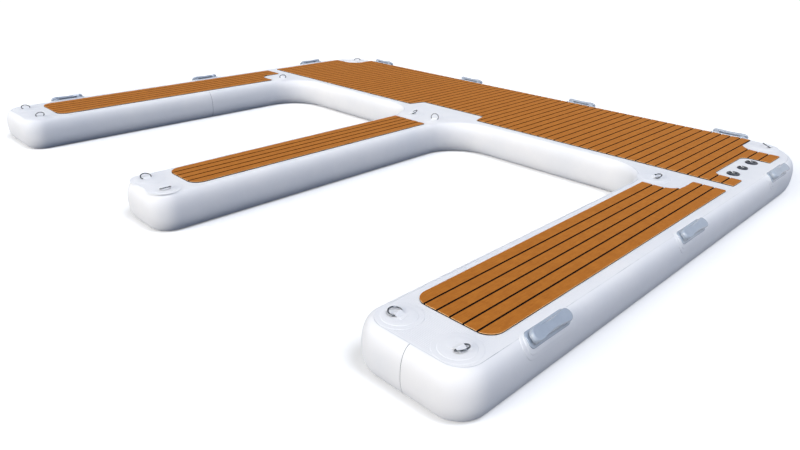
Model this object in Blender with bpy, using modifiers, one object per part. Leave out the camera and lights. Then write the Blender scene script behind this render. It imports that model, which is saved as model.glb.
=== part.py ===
"""Inflatable jet ski dock: an E-shaped drop-stitch float with two bays.

The float lies on Z = 0 with its fingers towards -Y. The origin is at the
middle of the whole dock's outline, on the ground. All sizes are in metres.
"""
import math

import bpy
import bmesh
from mathutils import Matrix, Vector

# Float: the drop-stitch chamber and the reinforcing band glued round its rim
overall_width = 4.240          # across the three fingers, over the side bands
hull_length = 3.271            # finger tips to the back, over the side bands
hull_thickness = 0.200
rim_bulge = 0.0535             # how far the round side stands out past the flat deck
rim_exponent = 2.355           # 2 would be an ellipse, more is squarer
platform_depth = 1.091
side_finger_width = 0.527
centre_finger_width = 0.414
back_corner_radius = 0.365
tip_corner_radius = 0.130
bay_corner_radius = 0.250
band_thickness = 0.0012
seat_gap = 0.0003              # between pieces that are glued or screwed together
flat_angle = math.radians(0.5)   # faces nearer than this to one plane are one face
rim_segments = 8
band_seam_angle = math.radians(67.5)
inner_seam_share = 0.62        # place of the band's joint along the left finger

# Deck pads: foam sheet with routed caulking lines
pad_thickness = 0.006
pad_side_inset = 0.0965        # pad edge to the outside of the hull
pad_back_inset = 0.0595
pad_front_inset = 0.0875
pad_tip_inset = 0.243
side_pad_width = 0.354
centre_pad_width = 0.277
side_pad_root_gap = 0.098      # from the platform pad's front edge
centre_pad_root_gap = 0.330
platform_planks = 67
side_planks = 6
centre_planks = 5
groove_width = 0.006
groove_depth = 0.004
pad_tip_radius = 0.065
pad_corner_radius = 0.008
cut_overrun = 0.010

# Bays left in the pads for valves, rings and the join of the centre finger
valve_bay_start_share = 0.125      # of the platform pad's depth, from its front edge
valve_bay_length_share = 0.4576
valve_bay_width = 0.152
valve_bay_radius = 0.048
corner_bay_planks = 4
corner_bay_depth_share = 0.2405
corner_bay_radius = 0.108
centre_bay_front = 0.318       # half widths
centre_bay_back = 0.284
centre_bay_depth = 0.117
centre_bay_radius = 0.020
root_bay_width = 0.184
root_bay_depth = 0.199
root_bay_radius = 0.096

# Mooring rings on their welded patches
ring_patch_radius = 0.066
ring_patch_thickness = 0.002
ring_wire_radius = 0.003
ring_half_width = 0.026        # from the middle to a side wire's centre
ring_side_length = 0.004       # straight part between the corner bends and the bow
ring_bend_radius = 0.005
ring_clearance = 0.0004
strap_thickness = 0.0014
strap_width = 0.030
strap_tail = 0.028
strap_toe = 0.009

# Carry handles
handle_seat_angle = math.radians(59.0)
handle_length = 0.240
handle_flange_width = 0.058
handle_flange_thickness = 0.004
handle_body_length = 0.216
handle_body_width = 0.044
handle_grip_length = 0.226
handle_grip_width = 0.050
handle_waist_width = 0.039
handle_grip_thickness = 0.009
handle_height = 0.028
handle_gap_length = 0.124
handle_gap_floor = 0.0062
handle_corner_radius = 0.021
handle_edge = 0.0022
handle_patch_margin = 0.024      # past the flange's ends
handle_patch_rise = 0.0015       # past its upper edge
handle_patch_fall = 0.026        # past its lower edge
handle_patch_radius = 0.040
handle_patch_thickness = 0.0012
side_handle_count = 3
side_handle_tip_gap = 0.179    # from the end of the tip's corner to the first handle's patch
side_handle_back_gap = 0.049   # from the last one's patch to the back corner
back_handle_inner = 0.540      # from the middle
back_handle_outer = 1.638

# Valves
valve_first_share = 0.2037     # of the valve bay's length, from its front edge
valve_spacing_share = 0.3171
valve_edge_inset = 0.174       # from the outside of the hull
valve_flange_radius = 0.034
relief_flange_radius = 0.028
valve_flange_height = 0.003
collar_height = 0.0065
collar_slope_share = 0.25
cup_radius = 0.0215
cup_wall = 0.0022
cup_depth = 0.030
cup_floor = 0.003
port_radius = 0.0125
hub_radius = 0.0045
hub_recess = 0.0006
spoke_width = 0.003
spoke_recess = 0.0008
skin_thickness = 0.002
well_clearance = 0.004
nut_radius = 0.0285
nut_height = 0.006
stem_radius = 0.0022
stem_clearance = 0.0004
poppet_radius = 0.0155
poppet_thickness = 0.0025
button_radius = 0.0065
button_height = 0.003
button_depth = 0.0065          # button top below the collar's top
stem_travel = 0.008
relief_travel = 0.003
relief_rod_length = 0.014      # under the cup's floor, with the spring round it
spring_wire_radius = 0.0008
spring_radius = 0.0042
spring_turns = 4
cap_clearance = 0.0004
cap_thickness = 0.0028
cap_plug_depth = 0.004
cap_wall = 0.002
cap_lug_length = 0.011
cap_lug_width = 0.004
cap_lug_height = 0.004
tether_width = 0.007
tether_thickness = 0.0014
tether_tab = 0.010
tether_angle = math.radians(45.0)

# Where the mooring rings' bars lie
tip_ring_inner_inset = 0.117   # from the finger's inner side
tip_ring_outer_inset = 0.136   # from the outside of the hull
tip_ring_setback = 0.132
centre_ring_half_spacing = 0.098
centre_ring_setback = 0.111
bay_ring_out = 0.089           # from the corner of the bay
bay_ring_ahead = 0.0895
root_ring_half_spacing = 0.105
root_ring_ahead = 0.1045
corner_ring_side_inset = 0.215
corner_ring_back_inset = 0.1275
ring_patch_setback = 0.008     # disc centre behind the bar
corner_patch_setback = -0.028

WHITE = (0.86, 0.87, 0.89, 1.0)
TEAK = (0.40, 0.16, 0.03, 1.0)
GREY = (0.40, 0.45, 0.52, 1.0)
SLATE = (0.05, 0.06, 0.08, 1.0)
STEEL = (0.60, 0.61, 0.63, 1.0)

for leftover in list(bpy.data.objects):
    bpy.data.objects.remove(leftover, do_unlink=True)

dock = bpy.data.collections.new("inflatable_jet_ski_dock")
cutters = bpy.data.collections.new("cutters")
bpy.context.scene.collection.children.link(dock)
bpy.context.scene.collection.children.link(cutters)


def finish(name, colour, roughness, metallic=0.0):
    """A plain material with the piece's colour."""
    made = bpy.data.materials.new(name)
    made.use_nodes = True
    shader = made.node_tree.nodes["Principled BSDF"]
    shader.inputs["Base Color"].default_value = colour
    shader.inputs["Roughness"].default_value = roughness
    shader.inputs["Metallic"].default_value = metallic
    return made


def add_piece(name, mesh, material, place=Matrix()):
    """A named object of the dock."""
    piece = bpy.data.objects.new(name, mesh)
    piece.matrix_world = place
    dock.objects.link(piece)
    if not mesh.materials:
        mesh.materials.append(material)
    return piece


def add_cutter(name, mesh, place=Matrix()):
    """A shape that only cuts or joins."""
    tool = bpy.data.objects.new(name, mesh)
    tool.matrix_world = place
    tool.hide_render = True
    tool.display_type = "WIRE"
    cutters.objects.link(tool)
    return tool


def mesh_from(builder, name):
    """Turn a filled bmesh into a mesh with outward faces."""
    bmesh.ops.recalc_face_normals(builder, faces=builder.faces)
    mesh = bpy.data.meshes.new(name)
    builder.to_mesh(mesh)
    builder.free()
    return mesh


def combine(name, mesh, steps):
    """Run Boolean steps of (operation, mesh, place) on a mesh, and keep the result as a new mesh."""
    base = add_cutter(name + "_base", mesh)
    tools = []
    for operation, shape, place in steps:
        tools.append(add_cutter(name + "_" + shape.name, shape, place))
        step = base.modifiers.new(operation.lower(), "BOOLEAN")
        step.operation = operation
        step.solver = "EXACT"
        step.object = tools[-1]
    made = bake(base)
    made.name = name
    for tool in tools:
        bpy.data.objects.remove(tool, do_unlink=True)
    return made


def bake(drawn):
    """Take an object's evaluated mesh, sewn together, and remove the object."""
    graph = bpy.context.evaluated_depsgraph_get()
    raw = bpy.data.meshes.new_from_object(drawn.evaluated_get(graph))
    builder = bmesh.new()
    builder.from_mesh(raw)
    bmesh.ops.remove_doubles(builder, verts=builder.verts, dist=seat_gap / 10)
    bmesh.ops.dissolve_limit(builder, angle_limit=flat_angle, verts=builder.verts, edges=builder.edges)
    name = drawn.name
    bpy.data.objects.remove(drawn, do_unlink=True)
    return mesh_from(builder, name)


def rounded(corners, inset=0.0):
    """Outline of (x, y, radius, arc steps) corners, anticlockwise, moved inwards by inset."""
    points = []
    for index, (x, y, radius, steps) in enumerate(corners):
        here = Vector((x, y))
        way_in = (here - Vector(corners[index - 1][:2])).normalized()
        way_out = (Vector(corners[(index + 1) % len(corners)][:2]) - here).normalized()
        side_in = Vector((-way_in.y, way_in.x))
        side_out = Vector((-way_out.y, way_out.x))
        corner = here + inset * (side_in + side_out) / (1 + side_in.dot(side_out))
        if steps == 0:
            points.append(corner)
            continue
        turn = math.atan2(way_in.x * way_out.y - way_in.y * way_out.x, way_in.dot(way_out))
        sign = math.copysign(1, turn)
        bend = radius - sign * inset
        start = corner - way_in * bend * math.tan(abs(turn) / 2)
        centre = start + side_in * bend * sign
        for step in range(steps + 1):
            spoke = start - centre
            spoke.rotate(Matrix.Rotation(turn * step / steps, 2))
            points.append(centre + spoke)
    return points


def plate(name, points, bottom, thickness, edge=0.0):
    """A flat outline as a filled 2D curve, extruded to a plate, with chamfered edges if edge is given."""
    curve = bpy.data.curves.new(name, "CURVE")
    curve.dimensions = "2D"
    curve.fill_mode = "BOTH"
    curve.extrude = thickness / 2 - edge
    curve.bevel_depth = edge
    curve.bevel_resolution = 0
    curve.offset = -edge
    line = curve.splines.new("POLY")
    line.points.add(len(points) - 1)
    for point, (x, y) in zip(line.points, points):
        point.co = (x, y, 0, 1)
    line.use_cyclic_u = True
    drawn = bpy.data.objects.new(name, curve)
    cutters.objects.link(drawn)
    sheet = bake(drawn)
    sheet.transform(Matrix.Translation((0, 0, bottom + thickness / 2)))
    return sheet


def wire(name, points, radius, sides, closed):
    """A POLY curve with a round bevel, made a mesh."""
    curve = bpy.data.curves.new(name, "CURVE")
    curve.dimensions = "3D"
    curve.bevel_depth = radius
    curve.bevel_resolution = sides // 2 - 2
    curve.use_fill_caps = not closed
    line = curve.splines.new("POLY")
    line.points.add(len(points) - 1)
    for point, place in zip(line.points, points):
        point.co = (*place, 1)
    line.use_cyclic_u = closed
    drawn = bpy.data.objects.new(name, curve)
    cutters.objects.link(drawn)
    return bake(drawn)


def loft(name, rows, closed_path=False, closed_rows=False):
    """Faces between rows of points, with caps where it stays open."""
    builder = bmesh.new()
    grid = [[builder.verts.new(point) for point in row] for row in rows]
    row_count = len(grid)
    path_count = len(grid[0])
    for r in range(row_count if closed_rows else row_count - 1):
        upper = grid[r]
        lower = grid[(r + 1) % row_count]
        for c in range(path_count if closed_path else path_count - 1):
            ahead = (c + 1) % path_count
            builder.faces.new((upper[c], lower[c], lower[ahead], upper[ahead]))
    if closed_rows:
        builder.faces.new([row[0] for row in grid])
        builder.faces.new([row[-1] for row in reversed(grid)])
    else:
        builder.faces.new(grid[0])
        builder.faces.new(list(reversed(grid[-1])))
    return mesh_from(builder, name)


def cylinder(name, radius, bottom, top, segments):
    """A round bar along local Z."""
    builder = bmesh.new()
    bmesh.ops.create_cone(builder, cap_ends=True, segments=segments, radius1=radius, radius2=radius,
                          depth=top - bottom)
    bmesh.ops.translate(builder, vec=(0, 0, (top + bottom) / 2), verts=builder.verts)
    return mesh_from(builder, name)


def blocks(name, corner_pairs):
    """One or more blocks, each between two corners."""
    builder = bmesh.new()
    for low, high in corner_pairs:
        size = Vector(high) - Vector(low)
        block = bmesh.ops.create_cube(builder, size=1.0)["verts"]
        bmesh.ops.scale(builder, vec=size, verts=block)
        bmesh.ops.translate(builder, vec=Vector(low) + size / 2, verts=block)
    return mesh_from(builder, name)


def turned(name, profile, steps):
    """A closed (radius, height) profile spun round local Z with a Screw modifier."""
    line = bpy.data.meshes.new(name)
    count = len(profile)
    on_axis = [radius == 0 for radius, height in profile]
    edges = [(i, (i + 1) % count) for i in range(count) if not (on_axis[i] and on_axis[(i + 1) % count])]
    line.from_pydata([(radius, 0, height) for radius, height in profile], edges, [])
    spun = bpy.data.objects.new(name, line)
    cutters.objects.link(spun)
    screw = spun.modifiers.new("turn", "SCREW")
    screw.steps = steps
    screw.render_steps = steps
    screw.use_merge_vertices = True
    screw.merge_threshold = seat_gap / 10
    return bake(spun)


# Rim section of the float: a squared ellipse, and its offset for what is glued on it
half_thickness = hull_thickness / 2
band_proud = seat_gap + band_thickness


def rim_point(angle, stand_off=0.0):
    """(reach past the flat deck, height above mid thickness) on the rim, stand_off above it."""
    across = max(math.cos(angle), 0.0)
    upward = math.sin(angle)
    power = 2 / rim_exponent
    out = rim_bulge * across ** power
    up = math.copysign(half_thickness * abs(upward) ** power, upward)
    lean_out = across ** (2 - power) / rim_bulge
    lean_up = math.copysign(abs(upward) ** (2 - power) / half_thickness, upward)
    length = math.hypot(lean_out, lean_up)
    return out + stand_off * lean_out / length, up + stand_off * lean_up / length


rim_angles = [math.pi * (0.5 - step / rim_segments) for step in range(rim_segments + 1)]
band_angles = [angle for angle in rim_angles if abs(angle) < band_seam_angle + math.pi / rim_segments / 2]

# Handle, in its own frame: X along the rim, Y up it, Z off it
handle_seat_height = band_proud + handle_patch_thickness
seat_out, seat_up = rim_point(handle_seat_angle, handle_seat_height)
root_out, root_up = rim_point(handle_seat_angle)
handle_tilt = math.atan2(seat_up - root_up, seat_out - root_out)


def rim_line(stand_off):
    """The rim's section in the handle's frame, from the deck down to the widest point."""
    line = []
    for step in range(-1, rim_segments // 2 + 1):
        if step < 0:
            out, up = -rim_bulge, half_thickness + stand_off
        else:
            out, up = rim_point(rim_angles[step], stand_off)
        across = (seat_out - out) * math.sin(handle_tilt) + (up - seat_up) * math.cos(handle_tilt)
        off = (out - seat_out) * math.cos(handle_tilt) + (up - seat_up) * math.sin(handle_tilt)
        line.append((across, off))
    return line


def along_rim(name, section, length):
    """A section in the handle's Y and Z, drawn out along the rim."""
    return loft(name, [[(x, y, z) for x in (-length / 2, length / 2)] for y, z in section], closed_rows=True)


def rim_sheet(name, low, high, length):
    """A sheet that follows the rim between two heights above it."""
    return along_rim(name, rim_line(high) + rim_line(low)[::-1], length)


def oblong(length, width, radius, steps):
    """Round-cornered rectangle about the origin."""
    x = length / 2
    y = width / 2
    corners = [(-x, -y), (x, -y), (x, y), (-x, y)]
    return rounded([(px, py, radius, steps) for px, py in corners])


def build_handle():
    """Flange that follows the rim, two posts, and the drawn-in grip over the hand gap."""
    seat = handle_seat_height + seat_gap
    reach = handle_flange_width
    flange = rim_sheet("flange", seat, seat + handle_flange_thickness, 2 * handle_length)
    outline = oblong(handle_length, handle_flange_width, handle_corner_radius, 2)
    flange_punch = plate("flange_punch", outline, -reach, 2 * reach)
    grip_bottom = handle_height - handle_grip_thickness
    outline = oblong(handle_body_length, handle_body_width, handle_corner_radius, 2)
    posts = plate("posts", outline, -reach, reach + handle_height - handle_grip_thickness / 2)
    floor = rim_line(seat + handle_flange_thickness / 2)
    floor += [(floor[-1][0], -2 * reach), (floor[0][0], -2 * reach)]
    below = along_rim("below", floor, 2 * handle_length)
    gap = blocks("gap", [((-handle_gap_length / 2, -reach, handle_gap_floor),
                          (handle_gap_length / 2, reach, grip_bottom))])
    posts = combine("posts", posts, [("DIFFERENCE", below, Matrix()), ("DIFFERENCE", gap, Matrix())])
    x = handle_grip_length / 2
    wide = handle_grip_width / 2
    waist = handle_waist_width / 2
    shoulder = handle_gap_length / 2
    lower = [(-x, -wide, handle_corner_radius, 3), (-shoulder, -wide, 0, 0), (0, -waist, 3 * shoulder, 1),
             (shoulder, -wide, 0, 0), (x, -wide, handle_corner_radius, 3)]
    upper = [(-px, -py, radius, steps) for px, py, radius, steps in lower]
    grip = plate("grip", rounded(lower + upper), grip_bottom, handle_grip_thickness, handle_edge)
    return combine("handle", flange, [("INTERSECT", flange_punch, Matrix()), ("UNION", posts, Matrix()),
                                      ("UNION", grip, Matrix())])


def build_handle_patch():
    """Round-cornered fabric patch that follows the rim under a handle, its underside within the band."""
    sheet = rim_sheet("handle_patch", seat_gap + band_thickness / 2, handle_seat_height, 2 * handle_length)
    x = handle_length / 2 + handle_patch_margin
    low = -handle_flange_width / 2 - handle_patch_fall
    high = handle_flange_width / 2 + handle_patch_rise
    outline = rounded([(-x, low, handle_patch_radius, 4), (x, low, handle_patch_radius, 4),
                       (x, high, handle_patch_radius, 4), (-x, high, handle_patch_radius, 4)])
    punch = plate("punch", outline, -handle_flange_width, 2 * handle_flange_width)
    return combine("handle_patch", sheet, [("INTERSECT", punch, Matrix())])


handle_mesh = build_handle()
patch_mesh = build_handle_patch()
turn_up = Matrix.Rotation(math.pi / 2 - handle_tilt, 4, "X")
seat_inset = rim_bulge + band_proud - seat_out
handle_reach = max(-(turn_up @ vertex.co).y for vertex in handle_mesh.vertices) - seat_inset

# Plan of the float: with the back handles, its outline is centred on the origin
half_width = overall_width / 2
back_y = (hull_length - handle_reach) / 2
tip_y = back_y - hull_length
bay_y = back_y - platform_depth
finger_x = half_width - side_finger_width
centre_x = centre_finger_width / 2
seam_x = half_width - side_finger_width / 2
seam_y = tip_y + (bay_y - tip_y) * inner_seam_share
half_joint = seat_gap / 2

# (x, y, radius, arc steps), anticlockwise from the joint in the band at the right finger's tip
outer_run = [
    (seam_x + half_joint, tip_y, 0, 0),
    (half_width, tip_y, tip_corner_radius, 5),
    (half_width, back_y, back_corner_radius, 6),
    (-half_width, back_y, back_corner_radius, 6),
    (-half_width, tip_y, tip_corner_radius, 5),
    (-finger_x, tip_y, tip_corner_radius, 5),
    (-finger_x, seam_y - half_joint, 0, 0),
]
inner_run = [
    (-finger_x, seam_y + half_joint, 0, 0),
    (-finger_x, bay_y, bay_corner_radius, 5),
    (-centre_x, bay_y, bay_corner_radius, 5),
    (-centre_x, tip_y, tip_corner_radius, 5),
    (centre_x, tip_y, tip_corner_radius, 5),
    (centre_x, bay_y, bay_corner_radius, 5),
    (finger_x, bay_y, bay_corner_radius, 5),
    (finger_x, tip_y, tip_corner_radius, 5),
    (seam_x - half_joint, tip_y, 0, 0),
]
outer_count = sum(steps + 1 for x, y, radius, steps in outer_run)
hull_corners = [corner for corner in outer_run + inner_run if corner[3]]

vinyl = finish("white_vinyl", WHITE, 0.45)
foam = finish("teak_foam", TEAK, 0.75)
moulded = finish("grey_moulding", GREY, 0.5)
dark = finish("slate_moulding", SLATE, 0.4)
pale = finish("white_moulding", WHITE, 0.35)
steel = finish("stainless_steel", STEEL, 0.2, 1.0)

# The three valves stand in a row in the side bay of the platform pad
pad_front_y = bay_y + pad_front_inset
pad_back_y = back_y - pad_back_inset
platform_pad_depth = pad_back_y - pad_front_y
valve_bay_y = pad_front_y + valve_bay_start_share * platform_pad_depth
valve_bay_length = valve_bay_length_share * platform_pad_depth
valve_x = half_width - valve_edge_inset
valve_places = {}
for number, valve_name in enumerate(("inflation_valve_front", "relief_valve", "inflation_valve_back")):
    valve_y = valve_bay_y + (valve_first_share + valve_spacing_share * number) * valve_bay_length
    valve_places[valve_name] = Matrix.Translation((valve_x, valve_y, hull_thickness))


def build_hull():
    """The chamber: its plan outline at each step of the rim section, with the valve wells cut in."""
    rows = []
    for angle in rim_angles:
        out, up = rim_point(angle)
        line = rounded(hull_corners, band_proud + rim_bulge - out)
        rows.append([(x, y, half_thickness + up) for x, y in line])
    well_depth = cup_depth + relief_rod_length + poppet_thickness + well_clearance
    well = cylinder("well", cup_radius + 2 * seat_gap, -well_depth, cut_overrun, 16)
    nut_bottom = -skin_thickness - nut_height - 2 * seat_gap
    nut_room = cylinder("nut_room", nut_radius + seat_gap, nut_bottom, -skin_thickness, 16)
    steps = []
    for place in valve_places.values():
        steps += [("DIFFERENCE", well, place), ("DIFFERENCE", nut_room, place)]
    return combine("hull_panel", loft("hull", rows, closed_path=True), steps)


def build_band(name, first, last):
    """A run of the reinforcing band: a thin C section carried round the rim."""
    section = [(angle, band_proud) for angle in band_angles]
    section += [(angle, seat_gap) for angle in reversed(band_angles)]
    rows = []
    for angle, stand_off in section:
        out, up = rim_point(angle, stand_off)
        line = rounded(outer_run + inner_run, band_proud + rim_bulge - out)
        rows.append([(x, y, half_thickness + up) for x, y in line[first:last]])
    return loft(name, rows, closed_rows=True)


# Handles stand on the straight sides; a wall that faces -Y needs no turn
handle_places = {}
patch_reach = handle_length / 2 + handle_patch_margin
first_handle_y = tip_y + tip_corner_radius + side_handle_tip_gap + patch_reach
last_handle_y = back_y - back_corner_radius - side_handle_back_gap - patch_reach
for number in range(side_handle_count):
    along = first_handle_y + (last_handle_y - first_handle_y) * number / (side_handle_count - 1)
    for side_name, side in (("right", 1), ("left", -1)):
        handle_places["%s_%d" % (side_name, number + 1)] = (side * half_width, along, side * math.pi / 2)
back_handles_x = (-back_handle_outer, -back_handle_inner, back_handle_inner, back_handle_outer)
for number, along in enumerate(back_handles_x):
    handle_places["back_%d" % (number + 1)] = (along, back_y, math.pi)
handle_frames = {}
for handle_name, (x, y, turn) in handle_places.items():
    face = Matrix.Rotation(turn, 4, "Z")
    foot = Matrix.Translation((x, y, half_thickness + seat_up))
    handle_frames[handle_name] = foot @ face @ Matrix.Translation((0, seat_inset, 0)) @ turn_up

outer_band = build_band("side_band_outer", 0, outer_count)
welded_on = [("UNION", patch_mesh, frame) for frame in handle_frames.values()]
add_piece("hull_panel", build_hull(), vinyl)
add_piece("side_band_outer", combine("side_band_outer", outer_band, welded_on), vinyl)
add_piece("side_band_inner", build_band("side_band_inner", outer_count, None), vinyl)
for handle_name, frame in handle_frames.items():
    add_piece("handle_" + handle_name, handle_mesh, moulded, frame)

# Deck pads
pad_x = half_width - pad_side_inset
pad_tip_y = tip_y + pad_tip_inset
side_pad_root_y = pad_front_y - side_pad_root_gap
centre_pad_root_y = pad_front_y - centre_pad_root_gap
side_pad_inner_x = pad_x - side_pad_width
centre_pad_x = centre_pad_width / 2
pad_bottom = hull_thickness + seat_gap
pad_top = pad_bottom + pad_thickness


def platform_outline():
    """The platform pad, with its bays for the centre finger, the valves and the back corner rings."""
    small = pad_corner_radius
    bay_high = valve_bay_y + valve_bay_length
    bay_x = pad_x - valve_bay_width
    corner_x = pad_x - corner_bay_planks * 2 * pad_x / platform_planks
    corner_y = pad_back_y - corner_bay_depth_share * platform_pad_depth
    notch_y = pad_front_y + centre_bay_depth
    return rounded([
        (-pad_x, pad_front_y, small, 2),
        (-centre_bay_front, pad_front_y, small, 2),
        (-centre_bay_back, notch_y, centre_bay_radius, 3),
        (centre_bay_back, notch_y, centre_bay_radius, 3),
        (centre_bay_front, pad_front_y, small, 2),
        (pad_x, pad_front_y, small, 2),
        (pad_x, valve_bay_y, small, 2),
        (bay_x, valve_bay_y, valve_bay_radius, 4),
        (bay_x, bay_high, valve_bay_radius, 4),
        (pad_x, bay_high, small, 2),
        (pad_x, corner_y, small, 2),
        (corner_x, corner_y, corner_bay_radius, 5),
        (corner_x, pad_back_y, small, 2),
        (-corner_x, pad_back_y, small, 2),
        (-corner_x, corner_y, corner_bay_radius, 5),
        (-pad_x, corner_y, small, 2),
    ])


def side_pad_outline(side):
    """A side finger's pad, with the bay at its root for the mooring ring."""
    small = pad_corner_radius
    bay_x = side_pad_inner_x + root_bay_width
    bay_low = side_pad_root_y - root_bay_depth
    corners = [
        (side_pad_inner_x, pad_tip_y, pad_tip_radius, 5),
        (pad_x, pad_tip_y, pad_tip_radius, 5),
        (pad_x, side_pad_root_y, small, 2),
        (bay_x, side_pad_root_y, small, 2),
        (bay_x, bay_low, root_bay_radius, 5),
        (side_pad_inner_x, bay_low, small, 2),
    ]
    if side < 0:
        corners = [(-x, y, radius, steps) for x, y, radius, steps in reversed(corners)]
    return rounded(corners)


def build_pad(name, outline, low_x, high_x, planks):
    """Foam sheet with a caulking line routed between each two planks, right through to its edges."""
    pitch = (high_x - low_x) / planks
    lines = []
    for number in range(1, planks):
        x = low_x + pitch * number
        lines.append(((x - groove_width / 2, tip_y, pad_top - groove_depth),
                      (x + groove_width / 2, back_y, pad_top + cut_overrun)))
    sheet = plate(name, outline, pad_bottom, pad_thickness)
    return combine(name, sheet, [("DIFFERENCE", blocks("lines", lines), Matrix())])


centre_outline = rounded([
    (-centre_pad_x, pad_tip_y, pad_tip_radius, 5),
    (centre_pad_x, pad_tip_y, pad_tip_radius, 5),
    (centre_pad_x, centre_pad_root_y, pad_corner_radius, 2),
    (-centre_pad_x, centre_pad_root_y, pad_corner_radius, 2),
])
for pad_name, outline, low_x, high_x, planks in (
        ("pad_platform", platform_outline(), -pad_x, pad_x, platform_planks),
        ("pad_right_finger", side_pad_outline(1), side_pad_inner_x, pad_x, side_planks),
        ("pad_left_finger", side_pad_outline(-1), -pad_x, -side_pad_inner_x, side_planks),
        ("pad_centre_finger", centre_outline, -centre_pad_x, centre_pad_x, centre_planks)):
    add_piece(pad_name, build_pad(pad_name, outline, low_x, high_x, planks), foam)

# Mooring rings. Local frame: X along the bar, Y away from where the ring leans, Z up from the deck
patch_top = seat_gap + ring_patch_thickness
bar_height = patch_top + strap_thickness + ring_clearance + ring_wire_radius
upright = Matrix(((0, 0, 1, 0), (1, 0, 0, 0), (0, 1, 0, 0), (0, 0, 0, 1)))


def build_ring_patch(setback):
    """Round patch with the strap that loops over the ring's bar welded on it."""
    disc = cylinder("ring_patch", ring_patch_radius, seat_gap, patch_top, 22)
    disc.transform(Matrix.Translation((0, setback, 0)))
    sunk = patch_top - ring_patch_thickness / 2
    bore = ring_wire_radius + ring_clearance
    reach = bore + strap_thickness
    arch = [(-strap_toe, sunk), (strap_tail, sunk), (strap_tail, patch_top + strap_thickness)]
    for step in range(4):
        angle = math.pi * (0.3 + 0.2 * step)
        arch.append((reach * math.cos(angle), bar_height + reach * math.sin(angle)))
    arch.append((-strap_toe, patch_top + strap_thickness / 2))
    strap = plate("strap", arch, -strap_width / 2, strap_width)
    strap.transform(upright)
    tunnel = cylinder("tunnel", bore, -strap_width, strap_width, 8)
    tunnel.transform(Matrix.Translation((0, 0, bar_height)) @ Matrix.Rotation(math.pi / 2, 4, "Y"))
    return combine("ring_patch", disc, [("UNION", strap, Matrix()), ("DIFFERENCE", tunnel, Matrix())])


def build_ring():
    """A D of round wire that stands up from its bar along local Z."""
    bend = ring_bend_radius
    half = ring_half_width
    points = []
    for step in range(3):
        angle = math.pi / 4 * (step - 2)
        points.append((half - bend + bend * math.cos(angle), 0, bend + bend * math.sin(angle)))
    for step in range(7):
        angle = math.pi * step / 6
        points.append((half * math.cos(angle), 0, bend + ring_side_length + half * math.sin(angle)))
    for step in range(3):
        angle = math.pi / 4 * (step + 4)
        points.append((bend - half + bend * math.cos(angle), 0, bend + bend * math.sin(angle)))
    return wire("d_ring", points, ring_wire_radius, 6, True)


inner_ring_x = finger_x + tip_ring_inner_inset
outer_ring_x = half_width - tip_ring_outer_inset
tip_ring_y = tip_y + tip_ring_setback
centre_ring_y = tip_y + centre_ring_setback
bay_ring_x = finger_x + bay_ring_out
bay_ring_y = bay_y - bay_ring_ahead
root_ring_y = bay_y - root_ring_ahead
corner_ring_x = half_width - corner_ring_side_inset
corner_ring_y = back_y - corner_ring_back_inset

# name: (X, Y, way that the ring leans and its lean above the deck in degrees, disc setback)
ring_places = {
    "right_tip_inner": (inner_ring_x, tip_ring_y, 188, 12, ring_patch_setback),
    "right_tip_outer": (outer_ring_x, tip_ring_y, 0, 20, ring_patch_setback),
    "left_tip_inner": (-inner_ring_x, tip_ring_y, -8, 50, ring_patch_setback),
    "left_tip_outer": (-outer_ring_x, tip_ring_y, 180, 24, ring_patch_setback),
    "centre_tip_left": (-centre_ring_half_spacing, centre_ring_y, 177, 22, ring_patch_setback),
    "centre_tip_right": (centre_ring_half_spacing, centre_ring_y, -3, 20, ring_patch_setback),
    "right_root": (bay_ring_x, bay_ring_y, 38, 22, ring_patch_setback),
    "left_root": (-bay_ring_x, bay_ring_y, 142, 26, ring_patch_setback),
    "centre_root_left": (-root_ring_half_spacing, root_ring_y, 46, 30, ring_patch_setback),
    "centre_root_right": (root_ring_half_spacing, root_ring_y, 110, 82, ring_patch_setback),
    "right_corner": (corner_ring_x, corner_ring_y, 222, 30, corner_patch_setback),
    "left_corner": (-corner_ring_x, corner_ring_y, 318, 30, corner_patch_setback),
}
ring_patch_meshes = {}
for setback in (ring_patch_setback, corner_patch_setback):
    ring_patch_meshes[setback] = build_ring_patch(setback)
ring_mesh = build_ring()
for ring_name, (x, y, lean_way, lean_up, setback) in ring_places.items():
    deck = Matrix.Translation((x, y, hull_thickness)) @ Matrix.Rotation(math.radians(lean_way + 90), 4, "Z")
    add_piece("ring_patch_" + ring_name, ring_patch_meshes[setback], vinyl, deck)
    pivot = bpy.data.objects.new("bar_of_" + ring_name, None)
    pivot.matrix_world = deck @ Matrix.Translation((0, 0, bar_height))
    dock.objects.link(pivot)
    ring = add_piece("d_ring_" + ring_name, ring_mesh, steel)
    ring.parent = pivot
    ring.matrix_local = Matrix.Rotation(math.radians(90 - lean_up), 4, "X")

# Valves. Local frame: the deck at Z = 0, the valve's axis along Z
collar_inner = cup_radius + cap_clearance
cup_bore = cup_radius - cup_wall
floor_top = cup_floor - cup_depth
hub_top = floor_top - hub_recess
hub_bottom = hub_recess - cup_depth
button_top = collar_height - button_depth
cap_bottom = valve_flange_height + seat_gap
cap_top = cap_bottom + cap_thickness
relief_seat = floor_top + seat_gap
relief_rod_end = -cup_depth - relief_rod_length
stud_radius = stem_radius + cap_wall / 2


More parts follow.
